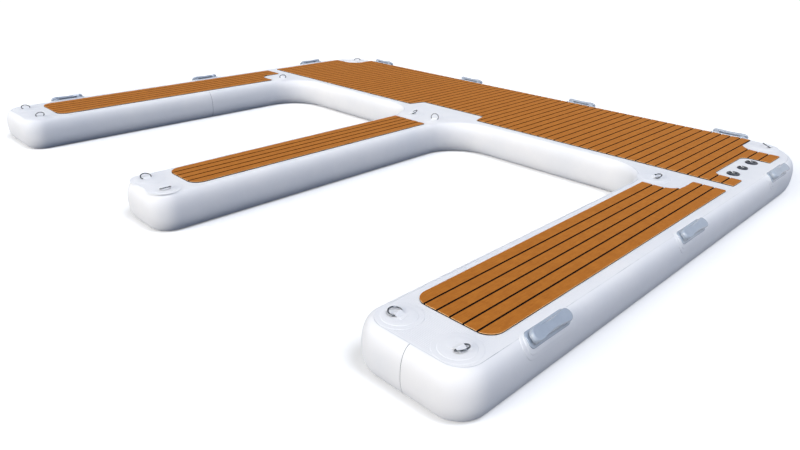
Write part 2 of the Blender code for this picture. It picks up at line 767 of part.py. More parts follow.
def build_valve_body(flange_radius):
    """Flange and collar on the deck, and the cup that hangs in the well, with a spoked hub in its floor."""
    slope = (flange_radius - collar_inner) * collar_slope_share
    shell = turned("valve_body", [
        (flange_radius, seat_gap),
        (flange_radius, valve_flange_height),
        (flange_radius - slope, collar_height),
        (collar_inner + slope, collar_height),
        (collar_inner, valve_flange_height),
        (cup_bore, valve_flange_height),
        (cup_bore, floor_top),
        (port_radius, floor_top),
        (port_radius, -cup_depth),
        (cup_radius, -cup_depth),
        (cup_radius, seat_gap),
    ], 16)
    spoke = blocks("spoke", [((hub_radius / 2, -spoke_width / 2, spoke_recess - cup_depth),
                              (port_radius + cup_wall / 2, spoke_width / 2, floor_top - spoke_recess))])
    steps = [("UNION", spoke, Matrix.Rotation(math.tau * number / 3, 4, "Z")) for number in range(3)]
    steps.append(("UNION", cylinder("hub", hub_radius, hub_bottom, hub_top, 12), Matrix()))
    bore_radius = stem_radius + stem_clearance
    bore = cylinder("hub_bore", bore_radius, -cup_depth - cut_overrun, cut_overrun - cup_depth, 12)
    steps.append(("DIFFERENCE", bore, Matrix()))
    return combine("valve_body", shell, steps)


def build_nut():
    """Ring nut that clamps the skin from inside."""
    inner = cup_radius + seat_gap
    top = -skin_thickness - seat_gap
    return turned("valve_nut", [(nut_radius, top - nut_height), (nut_radius, top), (inner, top),
                                (inner, top - nut_height)], 16)


def build_stem():
    """Inflation valve's stem: button, rod through the hub, and the sealing disc under the floor."""
    seal_top = -cup_depth - seat_gap
    return turned("valve_stem", [
        (0, seal_top - poppet_thickness),
        (poppet_radius, seal_top - poppet_thickness),
        (poppet_radius, seal_top),
        (stem_radius, seal_top),
        (stem_radius, button_top - button_height),
        (button_radius, button_top - button_height),
        (button_radius, button_top),
        (0, button_top),
    ], 12)


def build_relief_poppet():
    """Relief valve's disc on the floor, and its rod down through the hub to the spring's stop."""
    return turned("relief_poppet", [
        (0, relief_rod_end - poppet_thickness),
        (button_radius, relief_rod_end - poppet_thickness),
        (button_radius, relief_rod_end),
        (stem_radius, relief_rod_end),
        (stem_radius, relief_seat),
        (poppet_radius, relief_seat),
        (poppet_radius, relief_seat + poppet_thickness),
        (0, relief_seat + poppet_thickness),
    ], 12)


def build_spring(name, low, high):
    """Coil spring round the rod, between two faces, wound as one wire."""
    per_turn = 8
    count = spring_turns * per_turn
    bottom = low + seat_gap + spring_wire_radius
    rise = high - seat_gap - spring_wire_radius - bottom
    points = []
    for step in range(count + 1):
        angle = math.tau * step / per_turn
        height = bottom + rise * step / count
        points.append((spring_radius * math.cos(angle), spring_radius * math.sin(angle), height))
    least = min((Vector(points[i]) - Vector(points[j])).length
                for i in range(count + 1) for j in range(i + per_turn // 2, count + 1))
    print("%s: least gap of the wire to itself %.2f mm" % (name, (least - 2 * spring_wire_radius) * 1000))
    return wire(name, points, spring_wire_radius, 4, False)


def build_cap():
    """Cap in the collar: a disc with a hollow plug below, and two finger lugs and a stud above."""
    plug_radius = cup_bore - cap_clearance
    rim_radius = collar_inner - cap_clearance
    shell = turned("valve_cap", [
        (plug_radius, cap_bottom - cap_plug_depth),
        (plug_radius, cap_bottom),
        (rim_radius, cap_bottom),
        (rim_radius, cap_top),
        (0, cap_top),
        (0, cap_bottom),
        (plug_radius - cap_wall, cap_bottom),
        (plug_radius - cap_wall, cap_bottom - cap_plug_depth),
    ], 16)
    far = rim_radius - cap_wall
    near = far - cap_lug_length
    low = cap_top - cap_thickness / 2
    high = cap_top + cap_lug_height
    lugs = blocks("lugs", [((near, -cap_lug_width / 2, low), (far, cap_lug_width / 2, high)),
                           ((-far, -cap_lug_width / 2, low), (-near, cap_lug_width / 2, high))])
    stud = cylinder("stud", stud_radius, low, high, 12)
    return combine("valve_cap", shell, [("UNION", lugs, Matrix()), ("UNION", stud, Matrix())])


def build_tether(flange_radius):
    """Strap from a tab on the deck, over the collar, to an eye round the cap's stud."""
    low = max(collar_height, cap_top) + seat_gap
    high = low + tether_thickness
    foot = flange_radius + 2 * seat_gap
    side = [
        (0, low),
        (foot, low),
        (foot, seat_gap),
        (foot + tether_tab, seat_gap),
        (foot + tether_tab, seat_gap + tether_thickness),
        (foot + tether_thickness, seat_gap + tether_thickness),
        (foot + tether_thickness, high),
        (0, high),
    ]
    strap = plate("tether", side, -tether_width / 2, tether_width)
    strap.transform(upright)
    eye = cylinder("eye", stud_radius + seat_gap + cap_wall, low, high, 12)
    hole = cylinder("hole", stud_radius + seat_gap, 0, high + cut_overrun, 12)
    return combine("tether", strap, [("UNION", eye, Matrix()), ("DIFFERENCE", hole, Matrix())])


nut_mesh = build_nut()
cap_mesh = build_cap()
inflation_meshes = (
    build_valve_body(valve_flange_radius),
    build_stem(),
    build_spring("inflation_spring", hub_top, button_top - button_height),
    build_tether(valve_flange_radius),
)
relief_meshes = (
    build_valve_body(relief_flange_radius),
    build_relief_poppet(),
    build_spring("relief_spring", relief_rod_end, hub_bottom),
    build_tether(relief_flange_radius),
)
for valve_name, place in valve_places.items():
    relief = valve_name == "relief_valve"
    body_mesh, stem_mesh, spring_mesh, tether_mesh = relief_meshes if relief else inflation_meshes
    add_piece(valve_name + "_body", body_mesh, dark, place)
    add_piece(valve_name + "_nut", nut_mesh, dark, place)
    add_piece(valve_name + ("_poppet" if relief else "_stem"), stem_mesh, pale, place)
    add_piece(valve_name + "_spring", spring_mesh, steel, place)
    add_piece(valve_name + "_cap", cap_mesh, pale, place)
    add_piece(valve_name + "_tether", tether_mesh, pale, place @ Matrix.Rotation(tether_angle, 4, "Z"))

for piece in dock.objects:
    if piece.type == "MESH":
        piece.data.shade_smooth()
        piece.data.set_sharp_from_angle(angle=math.radians(30))
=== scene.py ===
"""The finish of an inflatable jet ski dock, piece by piece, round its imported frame.

Metres, in the part's own frame: the float lies on Z = 0 with its fingers towards -Y.
"""

import math

import bmesh
import bpy
import numpy as np
from mathutils import Matrix, Vector


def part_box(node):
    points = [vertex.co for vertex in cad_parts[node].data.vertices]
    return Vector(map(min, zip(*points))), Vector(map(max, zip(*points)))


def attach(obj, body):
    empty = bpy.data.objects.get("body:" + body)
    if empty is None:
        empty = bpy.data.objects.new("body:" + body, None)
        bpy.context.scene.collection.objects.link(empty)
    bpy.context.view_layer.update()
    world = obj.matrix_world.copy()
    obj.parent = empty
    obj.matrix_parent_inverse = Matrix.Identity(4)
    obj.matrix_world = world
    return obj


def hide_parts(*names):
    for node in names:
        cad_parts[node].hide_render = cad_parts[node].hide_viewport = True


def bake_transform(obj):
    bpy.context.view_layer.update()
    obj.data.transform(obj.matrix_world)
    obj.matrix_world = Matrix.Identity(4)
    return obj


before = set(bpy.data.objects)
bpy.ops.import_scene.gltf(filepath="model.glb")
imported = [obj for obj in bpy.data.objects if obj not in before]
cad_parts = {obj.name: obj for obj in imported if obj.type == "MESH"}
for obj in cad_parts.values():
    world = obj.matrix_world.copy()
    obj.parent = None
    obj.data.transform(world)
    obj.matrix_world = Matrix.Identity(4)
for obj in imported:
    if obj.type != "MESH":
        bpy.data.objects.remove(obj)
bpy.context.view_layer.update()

# Float chamber. Two skins of white PVC-coated fabric tied together by thousands of drop-stitch
# threads, cut to an E and closed by a round rim, so the deck is flat and as hard as a board. The
# threads' ends dimple the skin, and three wells take the valves.
float_low, float_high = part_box("hull_panel")
band_proud = 0.0015          # the band's outside to the chamber's
half_width = float_high.x + band_proud
tip_y = float_low.y - band_proud
back_y = float_high.y + band_proud
deck_z = float_high.z
mid_z = (float_low.z + float_high.z) / 2
half_thickness = float_high.z - mid_z
rim_bulge = 0.0535
rim_exponent = 2.355
side_finger_width = 0.527
centre_finger_width = 0.414
platform_depth = 1.091
back_corner_radius = 0.365
tip_corner_radius = 0.130
bay_corner_radius = 0.250
arc_step = math.radians(3.0)
well_radius = 0.0221
well_depth = 0.0505
thread_pitch = 0.0075
finger_x = half_width - side_finger_width
centre_x = centre_finger_width / 2
bay_y = back_y - platform_depth

# Corners as (x, y, radius), anticlockwise from the joint in the band at the right finger's tip
joint_x = half_width - side_finger_width / 2
joint_y = tip_y + 0.62 * (bay_y - tip_y)
outer_run = [
    (joint_x, tip_y, 0), (half_width, tip_y, tip_corner_radius), (half_width, back_y, back_corner_radius),
    (-half_width, back_y, back_corner_radius), (-half_width, tip_y, tip_corner_radius),
    (-finger_x, tip_y, tip_corner_radius), (-finger_x, joint_y, 0)]
inner_run = [
    (-finger_x, joint_y, 0), (-finger_x, bay_y, bay_corner_radius), (-centre_x, bay_y, bay_corner_radius),
    (-centre_x, tip_y, tip_corner_radius), (centre_x, tip_y, tip_corner_radius),
    (centre_x, bay_y, bay_corner_radius), (finger_x, bay_y, bay_corner_radius),
    (finger_x, tip_y, tip_corner_radius), (joint_x, tip_y, 0)]
whole_run = outer_run[1:] + inner_run[1:-1]


def plan_line(corners, inset, closed=True):
    """The plan outline, moved inwards by inset: at each corner an arc that touches both sides,
    centre + (r - inset) * (cos t, sin t), with r + inset where the outline turns the other way."""
    places = np.array([corner[:2] for corner in corners])
    runs = []
    for index, (x, y, radius) in enumerate(corners):
        here = places[index]
        before = places[index - 1]
        after = places[(index + 1) % len(corners)]
        if not closed and index == 0:
            before = 2 * here - after
        if not closed and index == len(corners) - 1:
            after = 2 * here - before
        way_in = (here - before) / np.linalg.norm(here - before)
        way_out = (after - here) / np.linalg.norm(after - here)
        side_in = np.array([-way_in[1], way_in[0]])
        side_out = np.array([-way_out[1], way_out[0]])
        corner = here + inset * (side_in + side_out) / (1 + side_in @ side_out)
        if radius == 0:
            runs.append(corner[None])
            continue
        turn = math.atan2(way_in[0] * way_out[1] - way_in[1] * way_out[0], way_in @ way_out)
        sign = math.copysign(1, turn)
        bend = radius - sign * inset
        start = corner - way_in * bend * math.tan(abs(turn) / 2)
        centre = start + side_in * bend * sign
        angles = np.linspace(0, turn, max(2, round(abs(turn) / arc_step)) + 1)
        spoke = start - centre
        runs.append(centre + np.stack([
            spoke[0] * np.cos(angles) - spoke[1] * np.sin(angles),
            spoke[0] * np.sin(angles) + spoke[1] * np.cos(angles)], 1))
    return np.concatenate(runs)


def signed_power(value, power):
    """|value| ^ power with the sign of value."""
    return np.sign(value) * np.abs(value) ** power


def rim_point(angle, stand_off=0.0):
    """The rim's squared ellipse, |out / bulge|^n + |up / half thickness|^n = 1, at an angle from
    the widest point, moved stand_off along its normal. Out is counted from the flat deck's edge."""
    across = np.maximum(np.cos(angle), 0)
    upward = np.sin(angle)
    power = 2 / rim_exponent
    out = rim_bulge * across ** power
    up = half_thickness * signed_power(upward, power)
    lean_out = across ** (2 - power) / rim_bulge
    lean_up = signed_power(upward, 2 - power) / half_thickness
    length = np.hypot(lean_out, lean_up)
    return out + stand_off * lean_out / length, up + stand_off * lean_up / length


def in_scene(name, data):
    """An object of this data, linked to the scene."""
    made = bpy.data.objects.new(name, data)
    bpy.context.scene.collection.objects.link(made)
    return made


def show(name, mesh, material, body, slot, *nodes, crease=35):
    """A piece of the dock: its mesh smooth up to the crease angle, on its body if it has just one, in
    place of its nodes."""
    piece = in_scene(name, mesh)
    mesh.materials.clear()
    mesh.materials.append(material)
    mesh.shade_smooth()
    mesh.set_sharp_from_angle(angle=math.radians(crease))
    if body:
        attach(piece, body)
    if nodes:
        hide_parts(*nodes)
    return piece


def srgb(code):
    """A hex colour as linear RGBA."""
    share = np.array([int(code[at:at + 2], 16) for at in (1, 3, 5)]) / 255
    linear = np.where(share <= 0.04045, share / 12.92, ((share + 0.055) / 1.055) ** 2.4)
    return (*linear.tolist(), 1.0)


def feed(tree, node, inputs):
    """Feeds a node's inputs: a socket or a node's first output is linked, anything else is a value."""
    for key, value in inputs.items():
        if isinstance(value, bpy.types.Node):
            value = value.outputs[0]
        if isinstance(value, bpy.types.NodeSocket):
            tree.links.new(value, node.inputs[key])
        else:
            node.inputs[key].default_value = value


def add(tree, kind, inputs=None, stops=(), **settings):
    """One shader node with its settings and inputs, and with a colour ramp's (position, colour) stops."""
    made = tree.nodes.new("ShaderNode" + kind)
    for key, value in settings.items():
        setattr(made, key, value)
    feed(tree, made, inputs or {})
    for index, (position, colour) in enumerate(stops):
        made.color_ramp.elements[index].position = position
        made.color_ramp.elements[index].color = srgb(colour)
    return made


def new_material(name, **values):
    """A material's node tree and its Principled BSDF with these values on its sockets."""
    material = bpy.data.materials.new(name)
    material.use_nodes = True
    shader = material.node_tree.nodes["Principled BSDF"]
    feed(material.node_tree, shader, {key.replace("_", " "): value for key, value in values.items()})
    return material, material.node_tree, shader


def coated_fabric(name, threads):
    """PVC-coated polyester, calendered: white, half matt, a little uneven, and where drop-stitch
    threads pull at it, with a dimple at each thread. The weave is drawn at 2.4 mm, twice its real
    size, and even so only shows close up."""
    material, tree, shader = new_material(name, Roughness=0.58, Specular_IOR_Level=0.1)
    place = add(tree, "TexCoord").outputs["Object"]
    cloud = add(tree, "TexNoise", {"Vector": place, "Scale": 2.6, "Detail": 4.0, "Roughness": 0.6})
    tone = add(tree, "ValToRGB", {"Fac": cloud}, ((0.3, "#E9ECF2"), (0.7, "#F3F4F7")))
    weave = add(tree, "TexNoise", {"Vector": place, "Scale": 420.0, "Detail": 2.0})
    swell = add(tree, "TexNoise", {"Vector": place, "Scale": 9.0, "Detail": 3.0, "Roughness": 0.5})
    bump = add(tree, "Bump", {"Height": weave, "Strength": 0.10, "Distance": 0.0006})
    bump = add(tree, "Bump", {"Height": swell, "Strength": 0.25, "Distance": 0.004, "Normal": bump})
    if threads:
        dimple = add(tree, "TexVoronoi", {"Vector": place, "Scale": 1 / thread_pitch, "Randomness": 0.12},
                     voronoi_dimensions="2D")
        dent = add(tree, "MapRange", {"Value": dimple, "From Max": 0.45}, interpolation_type="SMOOTHSTEP")
        bump = add(tree, "Bump", {"Height": dent, "Strength": 0.50, "Distance": 0.0010, "Normal": bump})
    feed(tree, shader, {"Base Color": tone, "Normal": bump})
    return material


def once_round(steps):
    """Angles at even steps once round."""
    return np.linspace(0, 2 * math.pi, steps, endpoint=False)


def chamber_mesh(wells):
    """Rows of the plan outline, each moved in as far as the rim's section says, from the deck's
    edge to the floor's. The two flat skins are filled in, round the wells' circles."""
    angles = np.radians(np.linspace(90, -90, 49))
    outs, ups = rim_point(angles)
    rows = [plan_line(whole_run, band_proud + rim_bulge - out) for out in outs]
    rim = np.stack([np.column_stack([row, np.full(len(row), mid_z + up)]) for row, up in zip(rows, ups)])
    columns = rim.shape[1]
    at = np.arange(rim.shape[0] * columns).reshape(rim.shape[0], columns)
    at = np.concatenate([at, at[:, :1]], 1)
    faces = np.stack([at[:-1, :-1], at[:-1, 1:], at[1:, 1:], at[1:, :-1]], -1).reshape(-1, 4).tolist()
    points = [rim.reshape(-1, 3)]
    count = len(points[0])
    steps = 48
    turn = once_round(steps)
    for x, y in wells:
        circle = np.stack([x + well_radius * np.cos(turn), y + well_radius * np.sin(turn)], 1)
        points += [np.column_stack([circle, np.full(steps, z)]) for z in (deck_z, deck_z - well_depth)]
        top = count + np.arange(steps)
        faces += np.stack([top, np.roll(top, -1), np.roll(top, -1) + steps, top + steps], 1).tolist()
        faces.append((top + steps).tolist())
        count += 2 * steps
    mesh = bpy.data.meshes.new("float")
    mesh.from_pydata(np.concatenate(points).tolist(), [], faces)
    shell = bmesh.new()
    shell.from_mesh(mesh)
    for height in (deck_z, float_low.z):
        rim_edges = [edge for edge in shell.edges
                     if edge.is_boundary and all(abs(vert.co.z - height) < 0.0001 for vert in edge.verts)]
        bmesh.ops.triangle_fill(shell, use_beauty=True, edges=rim_edges)
    bmesh.ops.recalc_face_normals(shell, faces=shell.faces)
    shell.to_mesh(mesh)
    shell.free()
    return mesh


def middle(node):
    """The middle of a CAD node's box."""
    low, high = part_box(node)
    return (low + high) / 2


valves = ("inflation_valve_front", "relief_valve", "inflation_valve_back")
valve_places = {name: middle(name + "_body") for name in valves}
dimpled_skin = coated_fabric("pvc_coated_drop_stitch_fabric", threads=True)
smooth_skin = coated_fabric("pvc_coated_fabric", threads=False)
show("float_chamber", chamber_mesh([(place.x, place.y) for place in valve_places.values()]), dimpled_skin,
     "float", "white_vinyl", "hull_panel", crease=50)

# Rim bands. A second layer of the coated fabric glued round the rim in two runs, to take knocks.
# The runs meet at the near finger's tip and on the far finger's inner side. Glue shows in those
# joints, drawn there a darker grey than elsewhere as painted shade in the gap, and as a thin bead
# along the bands' edges.
band_edge = math.radians(79.0)
edge_turn = 0.008            # radians over which a layer's edge comes down
edge_share = 0.55            # of the layer's height, where its edge ends
seat_gap = 0.0003            # parts' undersides over what they sit on, so that no faces coincide
joint_gap = 0.0024
glue_height = 0.0007
bead_start = 0.004           # radians from the band's edge
bead_height = 0.0008
bead_turn = math.radians(3.0)
bead_root = -0.0004


def joined(name, grids, round_rows=False, round_columns=True):
    """One mesh of several grids of points, with faces (i, j), (i + 1, j), (i + 1, j + 1), (i, j + 1)
    that close on themselves where asked. A tube's two ends get a face each. Doubles at poles are
    merged and faces turned outwards."""
    points = []
    faces = []
    count = 0
    for grid in grids:
        rows, columns = grid.shape[:2]
        at = count + np.arange(rows * columns).reshape(rows, columns)
        if round_rows:
            at = np.concatenate([at, at[:1]])
        if round_columns:
            at = np.concatenate([at, at[:, :1]], 1)
        faces += np.stack([at[:-1, :-1], at[1:, :-1], at[1:, 1:], at[:-1, 1:]], -1).reshape(-1, 4).tolist()
        if round_rows and not round_columns:
            faces += [at[:, 0].tolist(), at[::-1, -1].tolist()]
        points.append(grid.reshape(-1, 3))
        count += rows * columns
    mesh = bpy.data.meshes.new(name)
    mesh.from_pydata(np.concatenate(points).tolist(), [], faces)
    shell = bmesh.new()
    shell.from_mesh(mesh)
    bmesh.ops.remove_doubles(shell, verts=shell.verts, dist=0.00002)
    bmesh.ops.recalc_face_normals(shell, faces=shell.faces)
    shell.to_mesh(mesh)
    shell.free()
    return mesh


def rim_loft(name, section, run, closed=False):
    """A closed section of (angle round the rim, stand-off) carried along a run of the plan."""
    rows = []
    for angle, stand_off in section:
        out, up = rim_point(angle, stand_off)
        line = plan_line(run, band_proud + rim_bulge - out, closed=closed)
        rows.append(np.column_stack([line, np.full(len(line), mid_z + up)]))
    return joined(name, [np.stack(rows)], round_rows=True, round_columns=closed)


def band_section(height):
    """A layer round the rim between the bands' edges, its own two edges brought down."""
    angles = np.linspace(band_edge, -band_edge, 41)
    over = np.concatenate([[band_edge + edge_turn], angles, [-band_edge - edge_turn]])
    heights = np.concatenate([[height * edge_share], np.full(41, height), [height * edge_share]])
    return [*zip(over, heights), *((angle, seat_gap) for angle in over[::-1])]


def bead_section(side):
    """A bead of glue that falls as (1 - share ^ 2) from the band's edge onto the chamber."""
    top = [(side * (band_edge + bead_start + bead_turn * share), bead_height * (1 - share ** 2))
           for share in np.linspace(0, 1, 6)]
    return top + [(angle, bead_root) for angle, height in reversed(top)]


def moved(end, nearest, distance):
    """An end of a run moved along it towards its neighbour."""
    place = Vector(end[:2]) + (Vector(nearest[:2]) - Vector(end[:2])).normalized() * distance
    return place.x, place.y, 0


def cured_glue(name, dark_colour, colour):
    """Cured PVC glue: half matt, thick and grey in some stretches, thin and nearly white in others."""
    material, tree, shader = new_material(name, Roughness=0.5)
    place = add(tree, "TexCoord").outputs["Object"]
    smears = add(tree, "TexNoise", {"Vector": place, "Scale": 3.2, "Detail": 6.0, "Roughness": 0.7})
    tone = add(tree, "ValToRGB", {"Fac": smears}, ((0.30, dark_colour), (0.55, colour)))
    feed(tree, shader, {"Base Color": tone})
    return material


bead_glue = cured_glue("cured_glue_bead", "#A6ACB6", "#E3E6EB")
# The same glue, drawn darker in the joints: painted shade in their narrow gap.
shaded_joint_glue = cured_glue("cured_glue_in_joint_painted_shade", "#5F6470", "#7B808B")
for name, run in (("outer", outer_run), ("inner", inner_run)):
    ends = moved(run[0], run[1], joint_gap / 2), moved(run[-1], run[-2], joint_gap / 2)
    band = rim_loft("band", band_section(band_proud), [ends[0], *run[1:-1], ends[1]])
    show("rim_band_" + name, band, smooth_skin, "float", "white_vinyl", "side_band_" + name)
    joint = [moved(run[0], run[1], -joint_gap / 2), ends[0]]
    show("band_joint_" + name, rim_loft("joint", band_section(glue_height), joint), shaded_joint_glue, "float",
         "white_vinyl")
for name, side in (("upper", 1), ("lower", -1)):
    bead = rim_loft("bead", bead_section(side), whole_run, closed=True)
    show("glue_bead_" + name, bead, bead_glue, "float", "white_vinyl")

# Handle patches. Two layers of the coated fabric are welded over the band under each handle, the
# upper one smaller. They follow the rim, and their pressed edges stand out as fine lines.
handle_length = 0.240
flange_width = 0.058
patch_height = 0.0025        # both layers, over the band
pressed_edge = 0.0012        # how far in from its outline a layer has its full height
edge_sink = 0.0002           # its outline below the surface it lies on

# Each layer past the flange at its ends, above and below, its corners' radius, and its height
patch_layers = ((0.031, 0.010, 0.030, 0.050, 0.0013), (0.013, 0.0015, 0.018, 0.036, patch_height))
side_handle_first = 0.453
side_handle_spacing = 1.130
back_handles_x = (-1.638, -0.540, 0.540, 1.638)

# A handle's seat on the rim, its tilt, which is the rim's there and the grip's lean over the deck, and
# how far its tilted frame sees each point of the rim from there
seat_angle = math.radians(59.0)
grip_lean = math.radians(11.0)
seat_height = band_proud + patch_height
seat_out, seat_up = rim_point(seat_angle, seat_height)
root_out, root_up = rim_point(seat_angle)
tilt = math.atan2(seat_up - root_up, seat_out - root_out) + grip_lean
trace_angles = np.radians(np.linspace(0, 90, 181))
trace_out, trace_up = rim_point(trace_angles, seat_height)
trace_across = (seat_out - trace_out) * math.sin(tilt) + (trace_up - seat_up) * math.cos(tilt)


def on_rim(across, stand_off):
    """Points up and down the rim from a handle's seat, stand_off above the chamber, as (out past the
    flat deck, up from mid thickness). Past the rim's edge they lie over the deck."""
    out, up = rim_point(np.interp(across, trace_across, trace_angles), stand_off)
    past = (across - trace_across[-1]) / math.sin(tilt)
    return np.where(past > 0, -past, out), np.where(past > 0, half_thickness + stand_off, up)


def handle_walls():
    """Each handle's name, and the matrix that takes a wall facing -Y with its outside at Y = 0 there."""
    for side, name in ((1, "right"), (-1, "left")):
        for number in range(3):
            along = tip_y + side_handle_first + side_handle_spacing * number
            wall = Matrix.Translation((side * half_width, along, mid_z))
            yield "%s_%d" % (name, number + 1), wall @ Matrix.Rotation(side * math.pi / 2, 4, "Z")
    for number, x in enumerate(back_handles_x):
        wall = Matrix.Translation((x, back_y, mid_z))
        yield "back_%d" % (number + 1), wall @ Matrix.Rotation(math.pi, 4, "Z")


def placed(points, matrix):
    """Points taken through a matrix."""
    table = np.array(matrix)
    return points @ table[:3, :3].T + table[:3, 3]


def oblong(half_long, low, high, radius, steps):
    """Outline of a round-cornered rectangle, anticlockwise, as evenly spaced points."""
    corners = ((half_long, high), (-half_long, high), (-half_long, low), (half_long, low))
    arcs = []
    for (x, y), start in zip(corners, (0, 90, 180, 270)):
        angle = np.radians(np.linspace(start, start + 90, 24))
        arc_x = x - math.copysign(radius, x) + radius * np.cos(angle)
        arc_y = y - math.copysign(radius, y - (low + high) / 2) + radius * np.sin(angle)
        arcs.append(np.stack([arc_x, arc_y], 1))
    return evenly(np.concatenate(arcs), steps)


def evenly(line, steps):
    """A closed line taken again as steps points at even spacing along it."""
    line = np.concatenate([line, line[:1]])
    run = np.concatenate([[0], np.cumsum(np.linalg.norm(np.diff(line, axis=0), axis=1))])
    at = np.linspace(0, run[-1], steps, endpoint=False)
    return np.stack([np.interp(at, run, line[:, axis]) for axis in range(line.shape[1])], 1)


def dome(outline, edge, rings, fullness=2.0):
    """Rings from an outline's middle out to it, and each ring's height as a share: 1 as far as edge
    metres from the outline, then (1 - fall ^ fullness) ^ (1 / fullness) down to 0 on it."""
    centre = (outline.min(0) + outline.max(0)) / 2
    reach = np.linalg.norm(outline - centre, axis=1)
    fall = np.concatenate([np.zeros(rings), np.sin(np.linspace(0.25, math.pi / 2, 7))])
    flat = np.concatenate([np.linspace(0, 1, rings), np.ones(7)])
    share = flat[:, None] * (1 - edge / reach) + fall[:, None] * edge / reach
    return centre + share[..., None] * (outline - centre), (1 - fall ** fullness) ** (1 / fullness)


for station, wall in handle_walls():
    for layer, (ends, rise, drop, radius, height) in enumerate(patch_layers):
        outline = oblong(handle_length / 2 + ends, -flange_width / 2 - drop, flange_width / 2 + rise,
                         radius, 160)
        rings, shares = dome(outline, pressed_edge, 16)
        out, up = on_rim(rings[..., 1], (band_proud + height * shares - edge_sink * (shares == 0))[:, None])
        grid = placed(np.stack([rings[..., 0], rim_bulge + band_proud - out, up], -1), wall)
        show("handle_patch_%s_%d" % (station, layer + 1), joined("patch", [grid]), smooth_skin, "float",
             "white_vinyl", crease=60)

# Carry handles. Each is one moulding of half-soft grey plastic, welded to its patch by a flange that
# follows the rim. Two posts carry the grip, which narrows to a waist over the hand's gap.
flange_thickness = 0.004
flange_corner = 0.021
flange_edge = 0.003
handle_height = 0.028
grip_thickness = 0.0135
grip_nose = 0.0112
grip_half_length = 0.1115
grip_half_width = 0.0245
grip_corner = 0.023
waist_half_width = 0.0195
waist_half_length = 0.080
gap_half_length = 0.062
post_half_width = 0.0200
post_corner = 0.016
post_end = 0.0995
post_draft = 0.0026
fillet_reach = 0.0018
rib_height = 0.0005
rib_pitch = 0.0065
rib_half_length = 0.058
flange_seat = seat_height + seat_gap
handle_frame = (Matrix.Translation((0, rim_bulge + band_proud - seat_out, seat_up))
                @ Matrix.Rotation(math.pi / 2 - tilt, 4, "X"))


def moulded_plastic(name, colour, dark_colour, roughness, grain, gloss=0.0):
    """Moulded plastic with a spark-eroded grain, its tone drifting at random in clouds between two
    shades, and for the handles with a gloss on it. The grain is drawn at 1.1 to 1.7 mm, coarser than it
    is, to show close up."""
    material, tree, shader = new_material(name, Roughness=roughness, IOR=1.49, Coat_Weight=gloss,
                                          Coat_Roughness=0.08)
    place = add(tree, "TexCoord").outputs["Object"]
    cloud = add(tree, "TexNoise", {"Vector": place, "Scale": 24.0, "Detail": 5.0, "Roughness": 0.65})
    tone = add(tree, "ValToRGB", {"Fac": cloud}, ((0.25, dark_colour), (0.75, colour)))
    pits = add(tree, "TexNoise", {"Vector": place, "Scale": grain, "Detail": 2.0})
    bump = add(tree, "Bump", {"Height": pits, "Strength": 0.12, "Distance": 0.0004})
    feed(tree, shader, {"Base Color": tone, "Normal": bump})
    return material


def flange_grid():
    """The flange: a dome of the flange's thickness laid on the rim, and its flat back."""
    outline = oblong(handle_length / 2, -flange_width / 2, flange_width / 2, flange_corner, 128)
    rings, shares = dome(outline, flange_edge, 12, 2.4)
    rows = []
    for ring, share in [*zip(rings, shares), *((ring, None) for ring in rings[-8::-1])]:
        height = flange_seat + (flange_thickness * share if share is not None else 0)
        out, up = on_rim(ring[:, 1], height)
        rows.append(np.stack([ring[:, 0], rim_bulge + band_proud - out, up], 1))
    return np.stack(rows)


def post_grid(side):
    """A post: an oblong that draws in by its draft all round on the way up, with a (1 - sin) fillet
    at its foot, which follows the rim. It closes inside the flange and inside the grip."""
    half_long = (post_end - gap_half_length) / 2
    outline = oblong(half_long, -post_half_width, post_half_width, post_corner, 96)
    middle_x = side * (post_end + gap_half_length) / 2
    out, up = on_rim(outline[:, 1], flange_seat + flange_thickness * 0.6)
    foot = (out - seat_out) * math.cos(tilt) + (up - seat_up) * math.sin(tilt)
    top = handle_height - grip_thickness / 2
    reach = np.linalg.norm(outline, axis=1)
    rows = [np.tile([middle_x, 0, foot.mean()], (96, 1))]
    for share in np.linspace(0, 1, 15):
        fillet = fillet_reach * (1 - math.sin(min(share / 0.3, 1) * math.pi / 2))
        ring = outline * (1 + (post_draft * (1 - share) + fillet) / reach)[:, None]
        rows.append(np.column_stack([middle_x + ring[:, 0], ring[:, 1], foot + (top - foot) * share]))
    rows.append(np.tile([middle_x, 0, top], (96, 1)))
    return np.stack(rows)


def grip_grid():
    """The grip: an outline whose half width is waist + (full - waist) * (x / waist length) ^ 3,
    with a tall nose all round above and a small edge below, where ribs run along it for the fingers."""
    outline = oblong(grip_half_length, -grip_half_width, grip_half_width, grip_corner, 192)
    inside = np.clip(np.abs(outline[:, 0]) / waist_half_length, 0, 1)
    outline[:, 1] *= (waist_half_width + (grip_half_width - waist_half_width) * inside ** 3) / grip_half_width
    upper_rings, upper_shares = dome(outline, 0.0065, 18, 1.6)
    lower_rings, lower_shares = dome(outline, 0.0035, 18, 2.2)
    widest = handle_height - grip_nose
    top = widest + grip_nose * upper_shares[:, None] * np.ones(192)
    ribs = rib_height * np.cos(2 * math.pi * lower_rings[..., 1] / rib_pitch)
    ribs *= np.abs(lower_rings[..., 0]) < rib_half_length
    low = widest + (ribs - grip_thickness + grip_nose) * lower_shares[:, None]
    upper = np.concatenate([upper_rings, top[..., None]], -1)
    lower = np.concatenate([lower_rings, low[..., None]], -1)
    return np.concatenate([upper, lower[-2::-1]])


handle_plastic = moulded_plastic("pale_grey_soft_plastic", "#ABB7C7", "#A1ADBE", 0.20, 900.0, gloss=0.4)
for station, wall in handle_walls():
    frame_of_grip = wall @ handle_frame
    grids = [placed(flange_grid(), wall)]
    grids += [placed(grid, frame_of_grip) for grid in (post_grid(1), post_grid(-1), grip_grid())]
    show("carry_handle_" + station, joined("handle", grids), handle_plastic, "float", "grey_moulding",
         "handle_" + station, crease=40)

